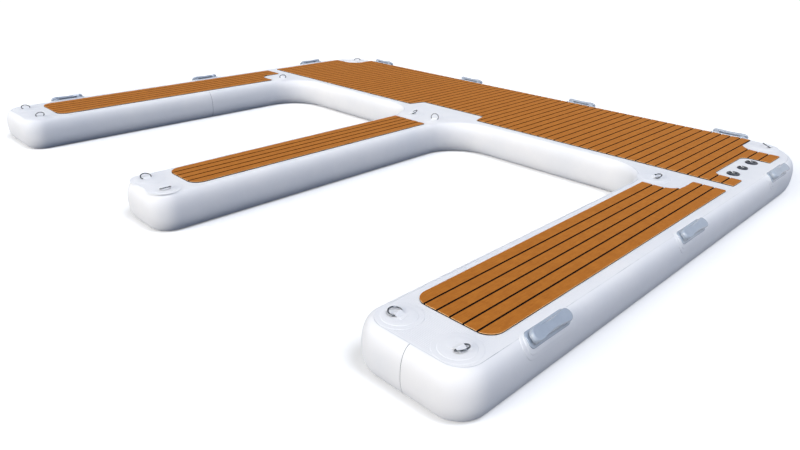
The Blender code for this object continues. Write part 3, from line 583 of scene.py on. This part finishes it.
# Deck pads. EVA foam sheet glued to the deck, teak brown on top and black below. A router has cut
# caulking lines along it, so the black shows between the planks, and brushed its top lengthwise.
platform_low, platform_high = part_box("pad_platform")
side_low, side_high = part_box("pad_right_finger")
centre_low, centre_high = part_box("pad_centre_finger")
pad_top = platform_high.z
pad_bottom = platform_low.z
groove_width = 0.0085
groove_depth = 0.004
brown_depth = 0.0016
edge_cut = 0.0007
platform_planks = 67
side_planks = 6
centre_planks = 5
pad_depth = platform_high.y - platform_low.y
valve_bay_y = platform_low.y + 0.125 * pad_depth
valve_bay_end_y = valve_bay_y + 0.4576 * pad_depth
valve_bay_x = platform_high.x - 0.152
corner_bay_x = platform_high.x - 4 * 2 * platform_high.x / platform_planks
corner_bay_y = platform_high.y - 0.2405 * pad_depth
notch_y = platform_low.y + 0.117
root_bay_x = side_low.x + 0.184
root_bay_y = side_high.y - 0.199


def teak_foam():
    """EVA foam in teak brown with brushed streaks along Y and cloudy patches, a painted highlight in pale
    tan on its cut edge, and black foam below the brown. The streaks are drawn at 1.9 mm and the cells at
    0.7 mm, both coarser than they are, to show close up."""
    material, tree, shader = new_material(
        "teak_eva_foam", Roughness=0.82, Specular_IOR_Level=0.22, Sheen_Weight=0.22, Sheen_Roughness=0.40,
        Sheen_Tint=srgb("#F0A860"))
    place = add(tree, "TexCoord").outputs["Object"]
    long_way = add(tree, "Mapping", {"Vector": place, "Scale": (1.0, 0.045, 1.0)})
    streaks = add(tree, "TexNoise", {"Vector": long_way, "Scale": 520.0, "Detail": 3.0, "Roughness": 0.6})
    broad = add(tree, "TexNoise", {"Vector": place, "Scale": 26.0, "Detail": 4.0, "Roughness": 0.65})
    blend = add(tree, "Mix", {"Factor": 0.45, "A": streaks, "B": broad})
    tone = add(tree, "ValToRGB", {"Fac": blend.outputs["Result"]}, ((0.36, "#A8631D"), (0.64, "#BD7528")))
    facing = add(tree, "SeparateXYZ", {"Vector": add(tree, "NewGeometry").outputs["Normal"]})
    # Faces that turn away from the flat top, the cut edge, get a pale tan: a painted highlight.
    cut = add(tree, "MapRange", {"Value": facing.outputs["Z"], "From Min": 0.90, "From Max": 0.985,
                                 "To Min": 1.0, "To Max": 0.0})
    edge_highlighted = add(tree, "Mix", {"Factor": cut, "A": tone, "B": srgb("#E3B27C")}, data_type="RGBA")
    height = add(tree, "SeparateXYZ", {"Vector": place})
    brown_end = pad_top - brown_depth
    deep = add(tree, "MapRange", {"Value": height.outputs["Z"], "From Min": brown_end - 0.0002,
                                  "From Max": brown_end, "To Min": 1.0, "To Max": 0.0})
    colour = add(tree, "Mix", {"Factor": deep, "A": edge_highlighted.outputs["Result"],
                               "B": srgb("#0D0808")}, data_type="RGBA")
    cells = add(tree, "TexVoronoi", {"Vector": place, "Scale": 1400.0})
    brushed = add(tree, "Bump", {"Height": streaks, "Strength": 0.30, "Distance": 0.0004})
    bump = add(tree, "Bump", {"Height": cells, "Strength": 0.15, "Distance": 0.0002, "Normal": brushed})
    feed(tree, shader, {"Base Color": colour.outputs["Result"], "Normal": bump})
    return material


def black_foam():
    """The sheet's black EVA foam where the router has opened it: matt, with open cells, drawn at
    0.9 mm, coarser than they are, to show close up."""
    material, tree, shader = new_material("black_eva_foam", Roughness=0.92, Specular_IOR_Level=0.12)
    place = add(tree, "TexCoord").outputs["Object"]
    cells = add(tree, "TexVoronoi", {"Vector": place, "Scale": 1100.0})
    tone = add(tree, "ValToRGB", {"Fac": cells}, ((0.0, "#0A0606"), (1.0, "#1B1210")))
    bump = add(tree, "Bump", {"Height": cells, "Strength": 0.2, "Distance": 0.0003})
    feed(tree, shader, {"Base Color": tone, "Normal": bump})
    return material


def block_mesh(name, boxes):
    """Blocks, each from its low to its high corner, as one mesh: 8 corners and 6 faces a block."""
    shape = np.array([[0, 0, 0], [1, 0, 0], [1, 1, 0], [0, 1, 0], [0, 0, 1], [1, 0, 1], [1, 1, 1], [0, 1, 1]])
    sides = np.array([[0, 3, 2, 1], [4, 5, 6, 7], [0, 1, 5, 4], [1, 2, 6, 5], [2, 3, 7, 6], [3, 0, 4, 7]])
    lows = np.array([box[0] for box in boxes])
    highs = np.array([box[1] for box in boxes])
    points = lows[:, None] + shape * (highs - lows)[:, None]
    faces = 8 * np.arange(len(boxes))[:, None, None] + sides
    mesh = bpy.data.meshes.new(name)
    mesh.from_pydata(points.reshape(-1, 3).tolist(), [], faces.reshape(-1, 4).tolist())
    return mesh


def deck_pad(name, corners, planks, low_x, high_x, *nodes):
    """A foam sheet of the outline with its top edge cut back at 45 degrees, less its caulking lines."""
    outline = plan_line(corners, 0.0)
    count = len(outline)
    rings = (outline, pad_bottom), (outline, pad_top - edge_cut), (plan_line(corners, edge_cut), pad_top)
    points = np.concatenate([np.column_stack([line, np.full(count, z)]) for line, z in rings])
    at = np.arange(count)
    wall = np.stack([at, np.roll(at, -1), np.roll(at, -1) + count, at + count], 1)
    faces = wall.tolist() + (wall + count).tolist() + [at[::-1].tolist(), (at + 2 * count).tolist()]
    sheet = bpy.data.meshes.new(name)
    sheet.from_pydata(points.tolist(), [], faces)
    pitch = (high_x - low_x) / planks
    middles = [low_x + pitch * number for number in range(1, planks)]
    lines = block_mesh("caulking_lines", [((x - groove_width / 2, tip_y, pad_top - groove_depth),
                                           (x + groove_width / 2, back_y, pad_top + 0.01)) for x in middles])
    lines.materials.append(black_core)
    router = in_scene("router", lines)
    pad = show(name, sheet, teak, "float", "teak_foam", *nodes)
    cut = pad.modifiers.new("caulking_lines", "BOOLEAN")
    cut.object = router
    cut.solver = "EXACT"
    cut.material_mode = "TRANSFER"
    graph = bpy.context.evaluated_depsgraph_get()
    routed = bpy.data.meshes.new_from_object(pad.evaluated_get(graph))
    pad.modifiers.clear()
    pad.data = routed
    bpy.data.objects.remove(router)
    routed.shade_smooth()
    routed.set_sharp_from_angle(angle=math.radians(30))
    return pad


def mirrored(corners):
    """Corners of the other side's outline."""
    return [(-x, y, radius) for x, y, radius in reversed(corners)]


teak = teak_foam()
black_core = black_foam()
sharp = 0.008                # radius of the pads' sharp corners

# Corners as (x, y, radius), anticlockwise
half_platform = [
    (0.284, notch_y, 0.020), (0.318, platform_low.y, sharp), (platform_high.x, platform_low.y, sharp)]
valve_side = [
    (platform_high.x, valve_bay_y, sharp), (valve_bay_x, valve_bay_y, 0.048),
    (valve_bay_x, valve_bay_end_y, 0.048), (platform_high.x, valve_bay_end_y, sharp)]
half_back = [
    (platform_high.x, corner_bay_y, sharp), (corner_bay_x, corner_bay_y, 0.108),
    (corner_bay_x, platform_high.y, sharp)]
side_corners = [
    (side_low.x, side_low.y, 0.065), (side_high.x, side_low.y, 0.065), (side_high.x, side_high.y, sharp),
    (root_bay_x, side_high.y, sharp), (root_bay_x, root_bay_y, 0.096), (side_low.x, root_bay_y, sharp)]
centre_corners = [
    (centre_low.x, centre_low.y, 0.065), (centre_high.x, centre_low.y, 0.065),
    (centre_high.x, centre_high.y, sharp), (centre_low.x, centre_high.y, sharp)]
deck_pad("platform_pad", half_platform + valve_side + half_back + mirrored(half_platform + half_back),
         platform_planks, platform_low.x, platform_high.x, "pad_platform")
deck_pad("right_finger_pad", side_corners, side_planks, side_low.x, side_high.x, "pad_right_finger")
deck_pad("left_finger_pad", mirrored(side_corners), side_planks, -side_high.x, -side_low.x, "pad_left_finger")
deck_pad("centre_finger_pad", centre_corners, centre_planks, centre_low.x, centre_high.x, "pad_centre_finger")

# Mooring-ring patches. Two discs of the coated fabric, one on the other, are welded to the deck, and
# a short strap of it loops over the ring's bar with both its ends welded down.
patch_radius = 0.066
patch_thickness = 0.002
lower_disc_radius = 0.086
lower_disc_thickness = 0.0010
strap_half_width = 0.0195
strap_thickness = 0.0014
wire_radius = 0.003
ring_half_width = 0.026
ring_bend = 0.005
ring_side = 0.004
patch_top = seat_gap + patch_thickness
running_gap = 0.0004         # between parts that turn or slide in one another
bar_height = patch_top + strap_thickness + running_gap + wire_radius
bar_to_strap = wire_radius + running_gap + strap_thickness / 2

# Each ring's bar: X, Y, the way that the ring leans, its lean above the deck, and how far behind the
# bar its disc's middle lies
tip_ring_y = tip_y + 0.132
rings = {
    "right_tip_inner": (finger_x + 0.117, tip_ring_y, 188, 12, 0.008),
    "right_tip_outer": (half_width - 0.136, tip_ring_y, 0, 20, 0.008),
    "left_tip_inner": (-finger_x - 0.117, tip_ring_y, -8, 50, 0.008),
    "left_tip_outer": (0.136 - half_width, tip_ring_y, 180, 24, 0.008),
    "centre_tip_left": (-0.098, tip_y + 0.111, 177, 22, 0.008),
    "centre_tip_right": (0.098, tip_y + 0.111, -3, 20, 0.008),
    "right_root": (finger_x + 0.089, bay_y - 0.0895, 38, 22, 0.008),
    "left_root": (-finger_x - 0.089, bay_y - 0.0895, 142, 26, 0.008),
    "centre_root_left": (-0.105, bay_y - 0.1045, 46, 30, 0.008),
    "centre_root_right": (0.105, bay_y - 0.1045, 110, 82, 0.008),
    "right_corner": (half_width - 0.215, back_y - 0.1275, 222, 30, -0.028),
    "left_corner": (0.215 - half_width, back_y - 0.1275, 318, 30, -0.028),
}


def disc_grid(radius, thickness, base, setback):
    """A disc domed over its pressed edge, with a closed flat back."""
    turn = once_round(96)
    outline = np.stack([radius * np.cos(turn), radius * np.sin(turn) + setback], 1)
    circles, shares = dome(outline, pressed_edge, 4)
    heights = np.broadcast_to((base + thickness * shares)[:, None, None], (len(circles), 96, 1))
    back = np.tile([0, setback, base], (1, 96, 1))
    return np.concatenate([np.concatenate([circles, heights], -1), back])


def smoothed(line, rounds):
    """An open line with each corner cut at a quarter of its two sides, rounds times over."""
    for _ in range(rounds):
        quarter = 0.75 * line[:-1] + 0.25 * line[1:]
        three = 0.25 * line[:-1] + 0.75 * line[1:]
        line = np.concatenate([line[:1], np.stack([quarter, three], 1).reshape(-1, line.shape[1]), line[-1:]])
    return line


def pointed(rows):
    """Rings with each end drawn in to its middle, which closes them."""
    ends = [np.broadcast_to(row.mean(0), row.shape) for row in (rows[0], rows[-1])]
    return np.concatenate([ends[0][None], rows, ends[1][None]])


def strap_grid(line, half_width_there, thickness, sides=24):
    """A flat strap carried along a line in Y and Z: its section is the squared ellipse
    |x / half width| ^ 6 + |h / half thickness| ^ 6 = 1 across the line."""
    way = np.gradient(line, axis=0)
    way /= np.linalg.norm(way, axis=1)[:, None]
    off = np.stack([-way[:, 1], way[:, 0]], 1)
    turn = once_round(sides)
    x = half_width_there * signed_power(np.cos(turn), 1 / 3)
    h = thickness / 2 * signed_power(np.sin(turn), 1 / 3)
    yz = line[:, None] + off[:, None] * h[None, :, None]
    rows = np.concatenate([np.broadcast_to(x[None, :, None], (len(line), sides, 1)), yz], -1)
    return pointed(rows)


def half_strap_line():
    """The strap's middle line from the top of the bar's loop straight down to its welded end."""
    low = patch_top + strap_thickness / 2
    over = [(bar_to_strap * math.sin(angle), bar_height + bar_to_strap * math.cos(angle))
            for angle in (0, 0.15, 0.30, 0.45)]
    return over + [(0.0150, low + 0.0014), (0.0172, low + 0.0004), (0.0200, low), (0.0215, low)]


# The strap's end behind the ring runs on for 12 mm
near_side = half_strap_line()
far_side = [(-y, z) for y, z in near_side[::-1]]
weld_z = near_side[-1][1]
strap_line = np.array(far_side + near_side[1:-1] + [(0.024, weld_z), (0.033, weld_z)])


def ring_frame(name):
    """A mooring ring's place on the deck: X along its bar, Y away from where the ring leans."""
    x, y, lean_way, *_ = rings[name]
    return Matrix.Translation((x, y, deck_z)) @ Matrix.Rotation(math.radians(lean_way + 90), 4, "Z")


for name, (*_, setback) in rings.items():
    grids = [disc_grid(lower_disc_radius, lower_disc_thickness, seat_gap, setback),
             disc_grid(patch_radius, patch_thickness, seat_gap, setback),
             strap_grid(smoothed(strap_line, 3), strap_half_width, strap_thickness)]
    patch = joined("patch", [placed(grid, ring_frame(name)) for grid in grids])
    show("ring_patch_" + name, patch, smooth_skin, "float", "white_vinyl", "ring_patch_" + name, crease=50)

# Mooring rings. D-rings bent from 6 mm stainless wire and polished, free to turn in their straps.


def polished_steel():
    """Polished stainless steel: a bright metal, its colour drawn darker than steel's as painted shade for
    the dark surroundings it reflects, with water marks and faint drawing marks of 0.4 mm, coarser than
    they are, to show close up."""
    # The dark base colour is painted shade: the dark surroundings that the polished metal would reflect.
    material, tree, shader = new_material("polished_stainless_steel", Metallic=1.0,
                                          Base_Color=srgb("#74787E"))
    place = add(tree, "TexCoord").outputs["Object"]
    marks = add(tree, "TexNoise", {"Vector": place, "Scale": 180.0, "Detail": 4.0})
    dull = add(tree, "MapRange", {"Value": marks, "To Min": 0.10, "To Max": 0.24})
    lines = add(tree, "TexNoise", {"Vector": place, "Scale": 2400.0, "Detail": 1.0})
    bump = add(tree, "Bump", {"Height": lines, "Strength": 0.04, "Distance": 0.0002})
    feed(tree, shader, {"Roughness": dull, "Normal": bump})
    return material


def d_line():
    """The wire's middle line in X and Z: the bar, two tight bends, short sides and a half-round bow."""
    bend = np.linspace(-math.pi / 2, 0, 9)
    bow = np.linspace(0, math.pi, 41)
    right = np.stack([ring_half_width - ring_bend + ring_bend * np.cos(bend),
                      ring_bend + ring_bend * np.sin(bend)], 1)
    top = np.stack([ring_half_width * np.cos(bow), ring_bend + ring_side + ring_half_width * np.sin(bow)], 1)
    left = right[::-1] * [-1, 1]
    return np.concatenate([right, top, left])


def wire_grid(line, radius, sides=16):
    """Round wire along a closed line in X and Z."""
    line = evenly(line, 120)
    way = np.roll(line, -1, axis=0) - np.roll(line, 1, axis=0)
    way /= np.linalg.norm(way, axis=1)[:, None]
    turn = once_round(sides)
    out = np.stack([way[:, 1], -way[:, 0]], 1)
    xz = line[:, None] + out[:, None] * (radius * np.cos(turn))[None, :, None]
    y = np.broadcast_to((radius * np.sin(turn))[None, :], xz.shape[:2])
    return np.stack([xz[..., 0], y, xz[..., 1]], -1)


steel = polished_steel()
for name, (*_, lean_up, _) in rings.items():
    leaning = (ring_frame(name) @ Matrix.Translation((0, 0, bar_height))
               @ Matrix.Rotation(math.radians(90 - lean_up), 4, "X"))
    wire = placed(wire_grid(d_line(), wire_radius), leaning)
    show("mooring_ring_" + name, joined("ring", [wire], round_rows=True), steel, "ring_" + name,
         "stainless_steel", "d_ring_" + name, crease=60)

# Valves. Moulded nylon bodies clamp the deck's skin against a ring nut inside. Each has a cup with a
# spoked hub that guides the stem, a steel coil that holds it shut, and a cap of the same nylon that
# a white strap keeps from getting lost.
cup_radius = 0.0215
cup_bore = cup_radius - 0.0022
cup_depth = 0.030
cup_floor = -cup_depth + 0.003
port_radius = 0.0125
collar_inner = cup_radius + running_gap
collar_height = 0.0065
flange_height = 0.003
stem_radius = 0.0022
stud_radius = 0.0032
hub_radius = 0.0045
hub_sink = 0.0006            # the hub's ends inside the cup floor's two faces
spoke_sink = 0.0008
spoke_half_width = 0.0015
cap_bottom = flange_height + seat_gap
cap_top = cap_bottom + 0.0028
plug_radius = cup_bore - running_gap
plug_length = 0.004
plug_wall = 0.002
lug_height = 0.004
lug_half_length = 0.0055
lug_half_width = 0.002
spring_radius = 0.0042
spring_wire_radius = 0.0008
spring_turns = 4
tether_half_width = 0.0035
tether_thickness = 0.0014
flange_radii = {"inflation_valve_front": 0.034, "relief_valve": 0.028, "inflation_valve_back": 0.034}


def turned_grid(profile, rounding=0.0006, steps=72):
    """A closed (radius, height) profile spun round Z, with each corner rounded off by the curve
    (1 - t)^2 a + 2 t (1 - t) corner + t^2 b between points on its two sides."""
    corners = np.array(profile, float)
    line = []
    share = np.linspace(0, 1, 5)[:, None]
    for index, corner in enumerate(corners):
        before = corners[index - 1] - corner
        after = corners[(index + 1) % len(corners)] - corner
        if corner[0] < 0.00001:
            line.append(corner[None])
            continue
        a = corner + before * min(rounding / np.linalg.norm(before), 0.4)
        b = corner + after * min(rounding / np.linalg.norm(after), 0.4)
        line.append((1 - share) ** 2 * a + 2 * share * (1 - share) * corner + share ** 2 * b)
    line = np.concatenate(line)
    turn = once_round(steps)
    return np.stack([line[:, None, 0] * np.cos(turn), line[:, None, 0] * np.sin(turn),
                     np.broadcast_to(line[:, None, 1], (len(line), steps))], -1)


def bar_grid(low, high, fullness=5.0):
    """A round-edged block: the squared ball |x|^n + |y|^n + |z|^n = 1 stretched between two corners."""
    u = once_round(40)
    v = np.linspace(-math.pi / 2, math.pi / 2, 21)
    power = 2 / fullness
    ring = np.abs(np.cos(v))[:, None] ** power
    unit = np.stack([ring * signed_power(np.cos(u), power), ring * signed_power(np.sin(u), power),
                     np.broadcast_to(signed_power(np.sin(v), power)[:, None], (21, 40))], -1)
    low = np.array(low)
    high = np.array(high)
    return (low + high) / 2 + unit * (high - low) / 2


def lathe_mesh(name, rounds, others, place):
    """Spun profiles, closed on themselves, and other closed grids, as one mesh in the deck's frame."""
    closed = [np.concatenate([grid, grid[:1]]) for grid in rounds]
    return joined(name, [placed(grid, place) for grid in closed + others])


def body_rounds(flange_radius):
    """The body's flange with its collar, and the cup down to the port in its floor, and the hub."""
    slope = (flange_radius - collar_inner) / 4
    shell = turned_grid([
        (flange_radius, seat_gap), (flange_radius, flange_height), (flange_radius - slope, collar_height),
        (collar_inner + slope, collar_height), (collar_inner, flange_height), (cup_bore, flange_height),
        (cup_bore, cup_floor), (port_radius, cup_floor), (port_radius, -cup_depth), (cup_radius, -cup_depth),
        (cup_radius, seat_gap)])
    bore = stem_radius + running_gap
    hub = turned_grid([(hub_radius, hub_sink - cup_depth), (hub_radius, cup_floor - hub_sink),
                       (bore, cup_floor - hub_sink), (bore, hub_sink - cup_depth)], 0.0003)
    return [shell, hub]


def cap_rounds():
    """The cap's disc with its plug and stud, as one profile."""
    return [turned_grid([
        (plug_radius, cap_bottom - plug_length), (plug_radius, cap_bottom),
        (collar_inner - running_gap, cap_bottom), (collar_inner - running_gap, cap_top),
        (stud_radius, cap_top), (stud_radius, cap_top + lug_height), (0, cap_top + lug_height),
        (0, cap_bottom), (plug_radius - plug_wall, cap_bottom),
        (plug_radius - plug_wall, cap_bottom - plug_length)])]


def tether_grids(flange_radius):
    """The strap that keeps a cap: up from its tab on the deck, over the collar, to an eye on the stud."""
    low = max(collar_height, cap_top) + seat_gap + tether_thickness / 2
    foot = flange_radius + 0.0006 + tether_thickness / 2
    rest = seat_gap + tether_thickness / 2
    line = np.array([(stud_radius + 0.0015, low), (foot - 0.003, low), (foot, low), (foot, low - 0.003),
                     (foot, rest + 0.0022), (foot, rest), (foot + 0.002, rest), (foot + 0.0093, rest)])
    strap = strap_grid(smoothed(line, 3), tether_half_width, tether_thickness)
    inner = stud_radius + seat_gap
    under = low - tether_thickness / 2
    over = low + tether_thickness / 2
    eye = turned_grid([(inner, under), (inner + 0.002, under), (inner + 0.002, over), (inner, over)],
                      0.0003, 40)
    return [eye], [strap]


def spring_grid(middle, low, high):
    """A coil: round wire carried along (r cos a, r sin a, rise * a), flat at both ends of the wire."""
    angle = np.linspace(0, 2 * math.pi * spring_turns, 160)
    bottom = low + spring_wire_radius
    rise = (high - low - 2 * spring_wire_radius) / angle[-1]
    out = np.stack([np.cos(angle), np.sin(angle), 0 * angle], 1)
    way = np.stack([-spring_radius * np.sin(angle), spring_radius * np.cos(angle), rise + 0 * angle], 1)
    over = np.cross(out, way / np.linalg.norm(way, axis=1)[:, None])
    line = spring_radius * out + np.array([middle.x, middle.y, bottom]) + np.outer(rise * angle, [0, 0, 1])
    turn = once_round(12)[:, None]
    rows = line[:, None] + spring_wire_radius * (np.cos(turn) * out[:, None] + np.sin(turn) * over[:, None])
    return pointed(rows)


nylon = moulded_plastic("slate_glass_filled_nylon", "#263040", "#1A222E", 0.28, 700.0)
white_plastic = moulded_plastic("white_polypropylene", "#F1F3F6", "#E4E7EC", 0.30, 600.0)
arm = bar_grid((0.0030, -spoke_half_width, spoke_sink - cup_depth),
               (port_radius + 0.001, spoke_half_width, cup_floor - spoke_sink))
spokes = [placed(arm, Matrix.Rotation(2 * math.pi * number / 3, 4, "Z")) for number in range(3)]
lug_x = collar_inner - 0.0024 - lug_half_length
lugs = [bar_grid((side * lug_x - lug_half_length, -lug_half_width, cap_top - 0.0014),
                 (side * lug_x + lug_half_length, lug_half_width, cap_top + lug_height)) for side in (1, -1)]
for valve, flange_radius in flange_radii.items():
    place = Matrix.Translation((valve_places[valve].x, valve_places[valve].y, deck_z))
    show(valve + "_moulding", lathe_mesh("body", body_rounds(flange_radius), spokes, place), nylon, "float",
         "slate_moulding", valve + "_body")
    show(valve + "_cover", lathe_mesh("cap", cap_rounds(), lugs, place), nylon, valve + "_cap",
         "slate_moulding", valve + "_cap")
    eyes, straps = tether_grids(flange_radius)
    tether = lathe_mesh("tether", eyes, straps, place @ Matrix.Rotation(math.pi / 4, 4, "Z"))
    show(valve + "_cap_strap", tether, white_plastic, "float", "white_moulding", valve + "_tether")
    low, high = (corner.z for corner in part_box(valve + "_spring"))
    coil = joined("coil", [spring_grid(valve_places[valve], low, high)])
    spring = show(valve + "_coil", coil, steel, None, "stainless_steel", valve + "_spring")
    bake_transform(spring)
    finishes = {"_nut": nylon, "_stem": white_plastic, "_poppet": white_plastic}
    for ending, finish in finishes.items():
        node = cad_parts.get(valve + ending)
        if node:
            node.data.materials.clear()
            node.data.materials.append(finish)

# Studio. A low soft key from the finger tips' side, a cooler one from high on the right, a cool fill
# from all round, and the camera that took the photograph, fitted to the deck's corners. The floor
# and the paper behind it are white and only keep the shadow.
camera_data = bpy.data.cameras.new("camera")
camera_data.lens = 29.507
camera_data.sensor_width = 36.0
camera_data.clip_end = 60.0
camera = in_scene("camera", camera_data)
pitch, yaw, roll = 0.4231, -0.7808, 0.0181
forward = Vector((math.sin(yaw) * math.cos(pitch), math.cos(yaw) * math.cos(pitch), -math.sin(pitch)))
across = Vector((math.cos(yaw), -math.sin(yaw), 0))
over = across.cross(forward)
right = math.cos(roll) * across + math.sin(roll) * over
top = math.cos(roll) * over - math.sin(roll) * across
camera.matrix_world = Matrix((right, top, -forward)).transposed().to_4x4()
camera.location = (3.04512, platform_low.y - 3.47886, pad_top + 1.17918)
bpy.context.scene.camera = camera


def soft_light(name, way, spread, energy, colour):
    """A wide far-off softbox: a sun lamp shining along way, seen under the angle spread."""
    lamp = bpy.data.lights.new(name, "SUN")
    lamp.angle = math.radians(spread)
    lamp.energy = energy
    lamp.color = srgb(colour)[:3]
    in_scene(name, lamp).rotation_euler = Vector(way).to_track_quat("-Z", "Y").to_euler()


def seen_directly(tree):
    """1 for rays from the lens and from what mirrors or lets through, 0 for those that light."""
    path = add(tree, "LightPath").outputs
    glossy = add(tree, "Math", {0: path["Is Camera Ray"], 1: path["Is Glossy Ray"]}, operation="MAXIMUM")
    either = add(tree, "Math", {0: glossy, 1: path["Is Transmission Ray"]}, operation="MAXIMUM")
    return either.outputs[0]


soft_light("key", (0.10, 0.93, -0.34), 40.0, 2.60, "#FFF9EF")
soft_light("side", (-0.48, -0.06, -0.87), 26.0, 1.75, "#EEF1F9")
world = bpy.data.worlds.new("studio")
world.use_nodes = True
bpy.context.scene.world = world
sky = world.node_tree
fill = sky.nodes["Background"]
feed(sky, fill, {"Color": srgb("#DDE5F4"), "Strength": 0.32})
way_up = add(sky, "SeparateXYZ", {"Vector": add(sky, "TexCoord").outputs["Generated"]})
ceiling = add(sky, "ValToRGB", {"Fac": way_up.outputs["Z"]}, ((0.20, "#FFFFFF"), (0.75, "#5C6A80")))
paper = add(sky, "Background", {"Color": ceiling, "Strength": 1.0})
either = add(sky, "MixShader", {0: seen_directly(sky), 1: fill, 2: paper})
feed(sky, sky.nodes["World Output"], {"Surface": either})

# Seen directly the floor is white paper. As a light it throws back less, and bluer, as the water does.
floor_material, floor_tree, floor_shader = new_material("studio_floor", Roughness=0.9)
seen = seen_directly(floor_tree)
floor_tone = add(floor_tree, "Mix", {"Factor": seen, "A": srgb("#34455F"), "B": (0.93, 0.94, 0.95, 1.0)},
                 data_type="RGBA")
glow = add(floor_tree, "Math", {0: seen, 1: 0.22}, operation="MULTIPLY")
feed(floor_tree, floor_shader, {"Base Color": floor_tone.outputs["Result"],
                                "Emission Strength": glow, "Emission Color": (1.0, 1.0, 1.0, 1.0)})
floor_mesh = block_mesh("studio_floor", [((-40, -40, float_low.z - 0.02), (40, 40, float_low.z - 0.0005))])
floor_mesh.materials.append(floor_material)
in_scene("studio_floor", floor_mesh)
bpy.context.scene.view_settings.view_transform = "Standard"
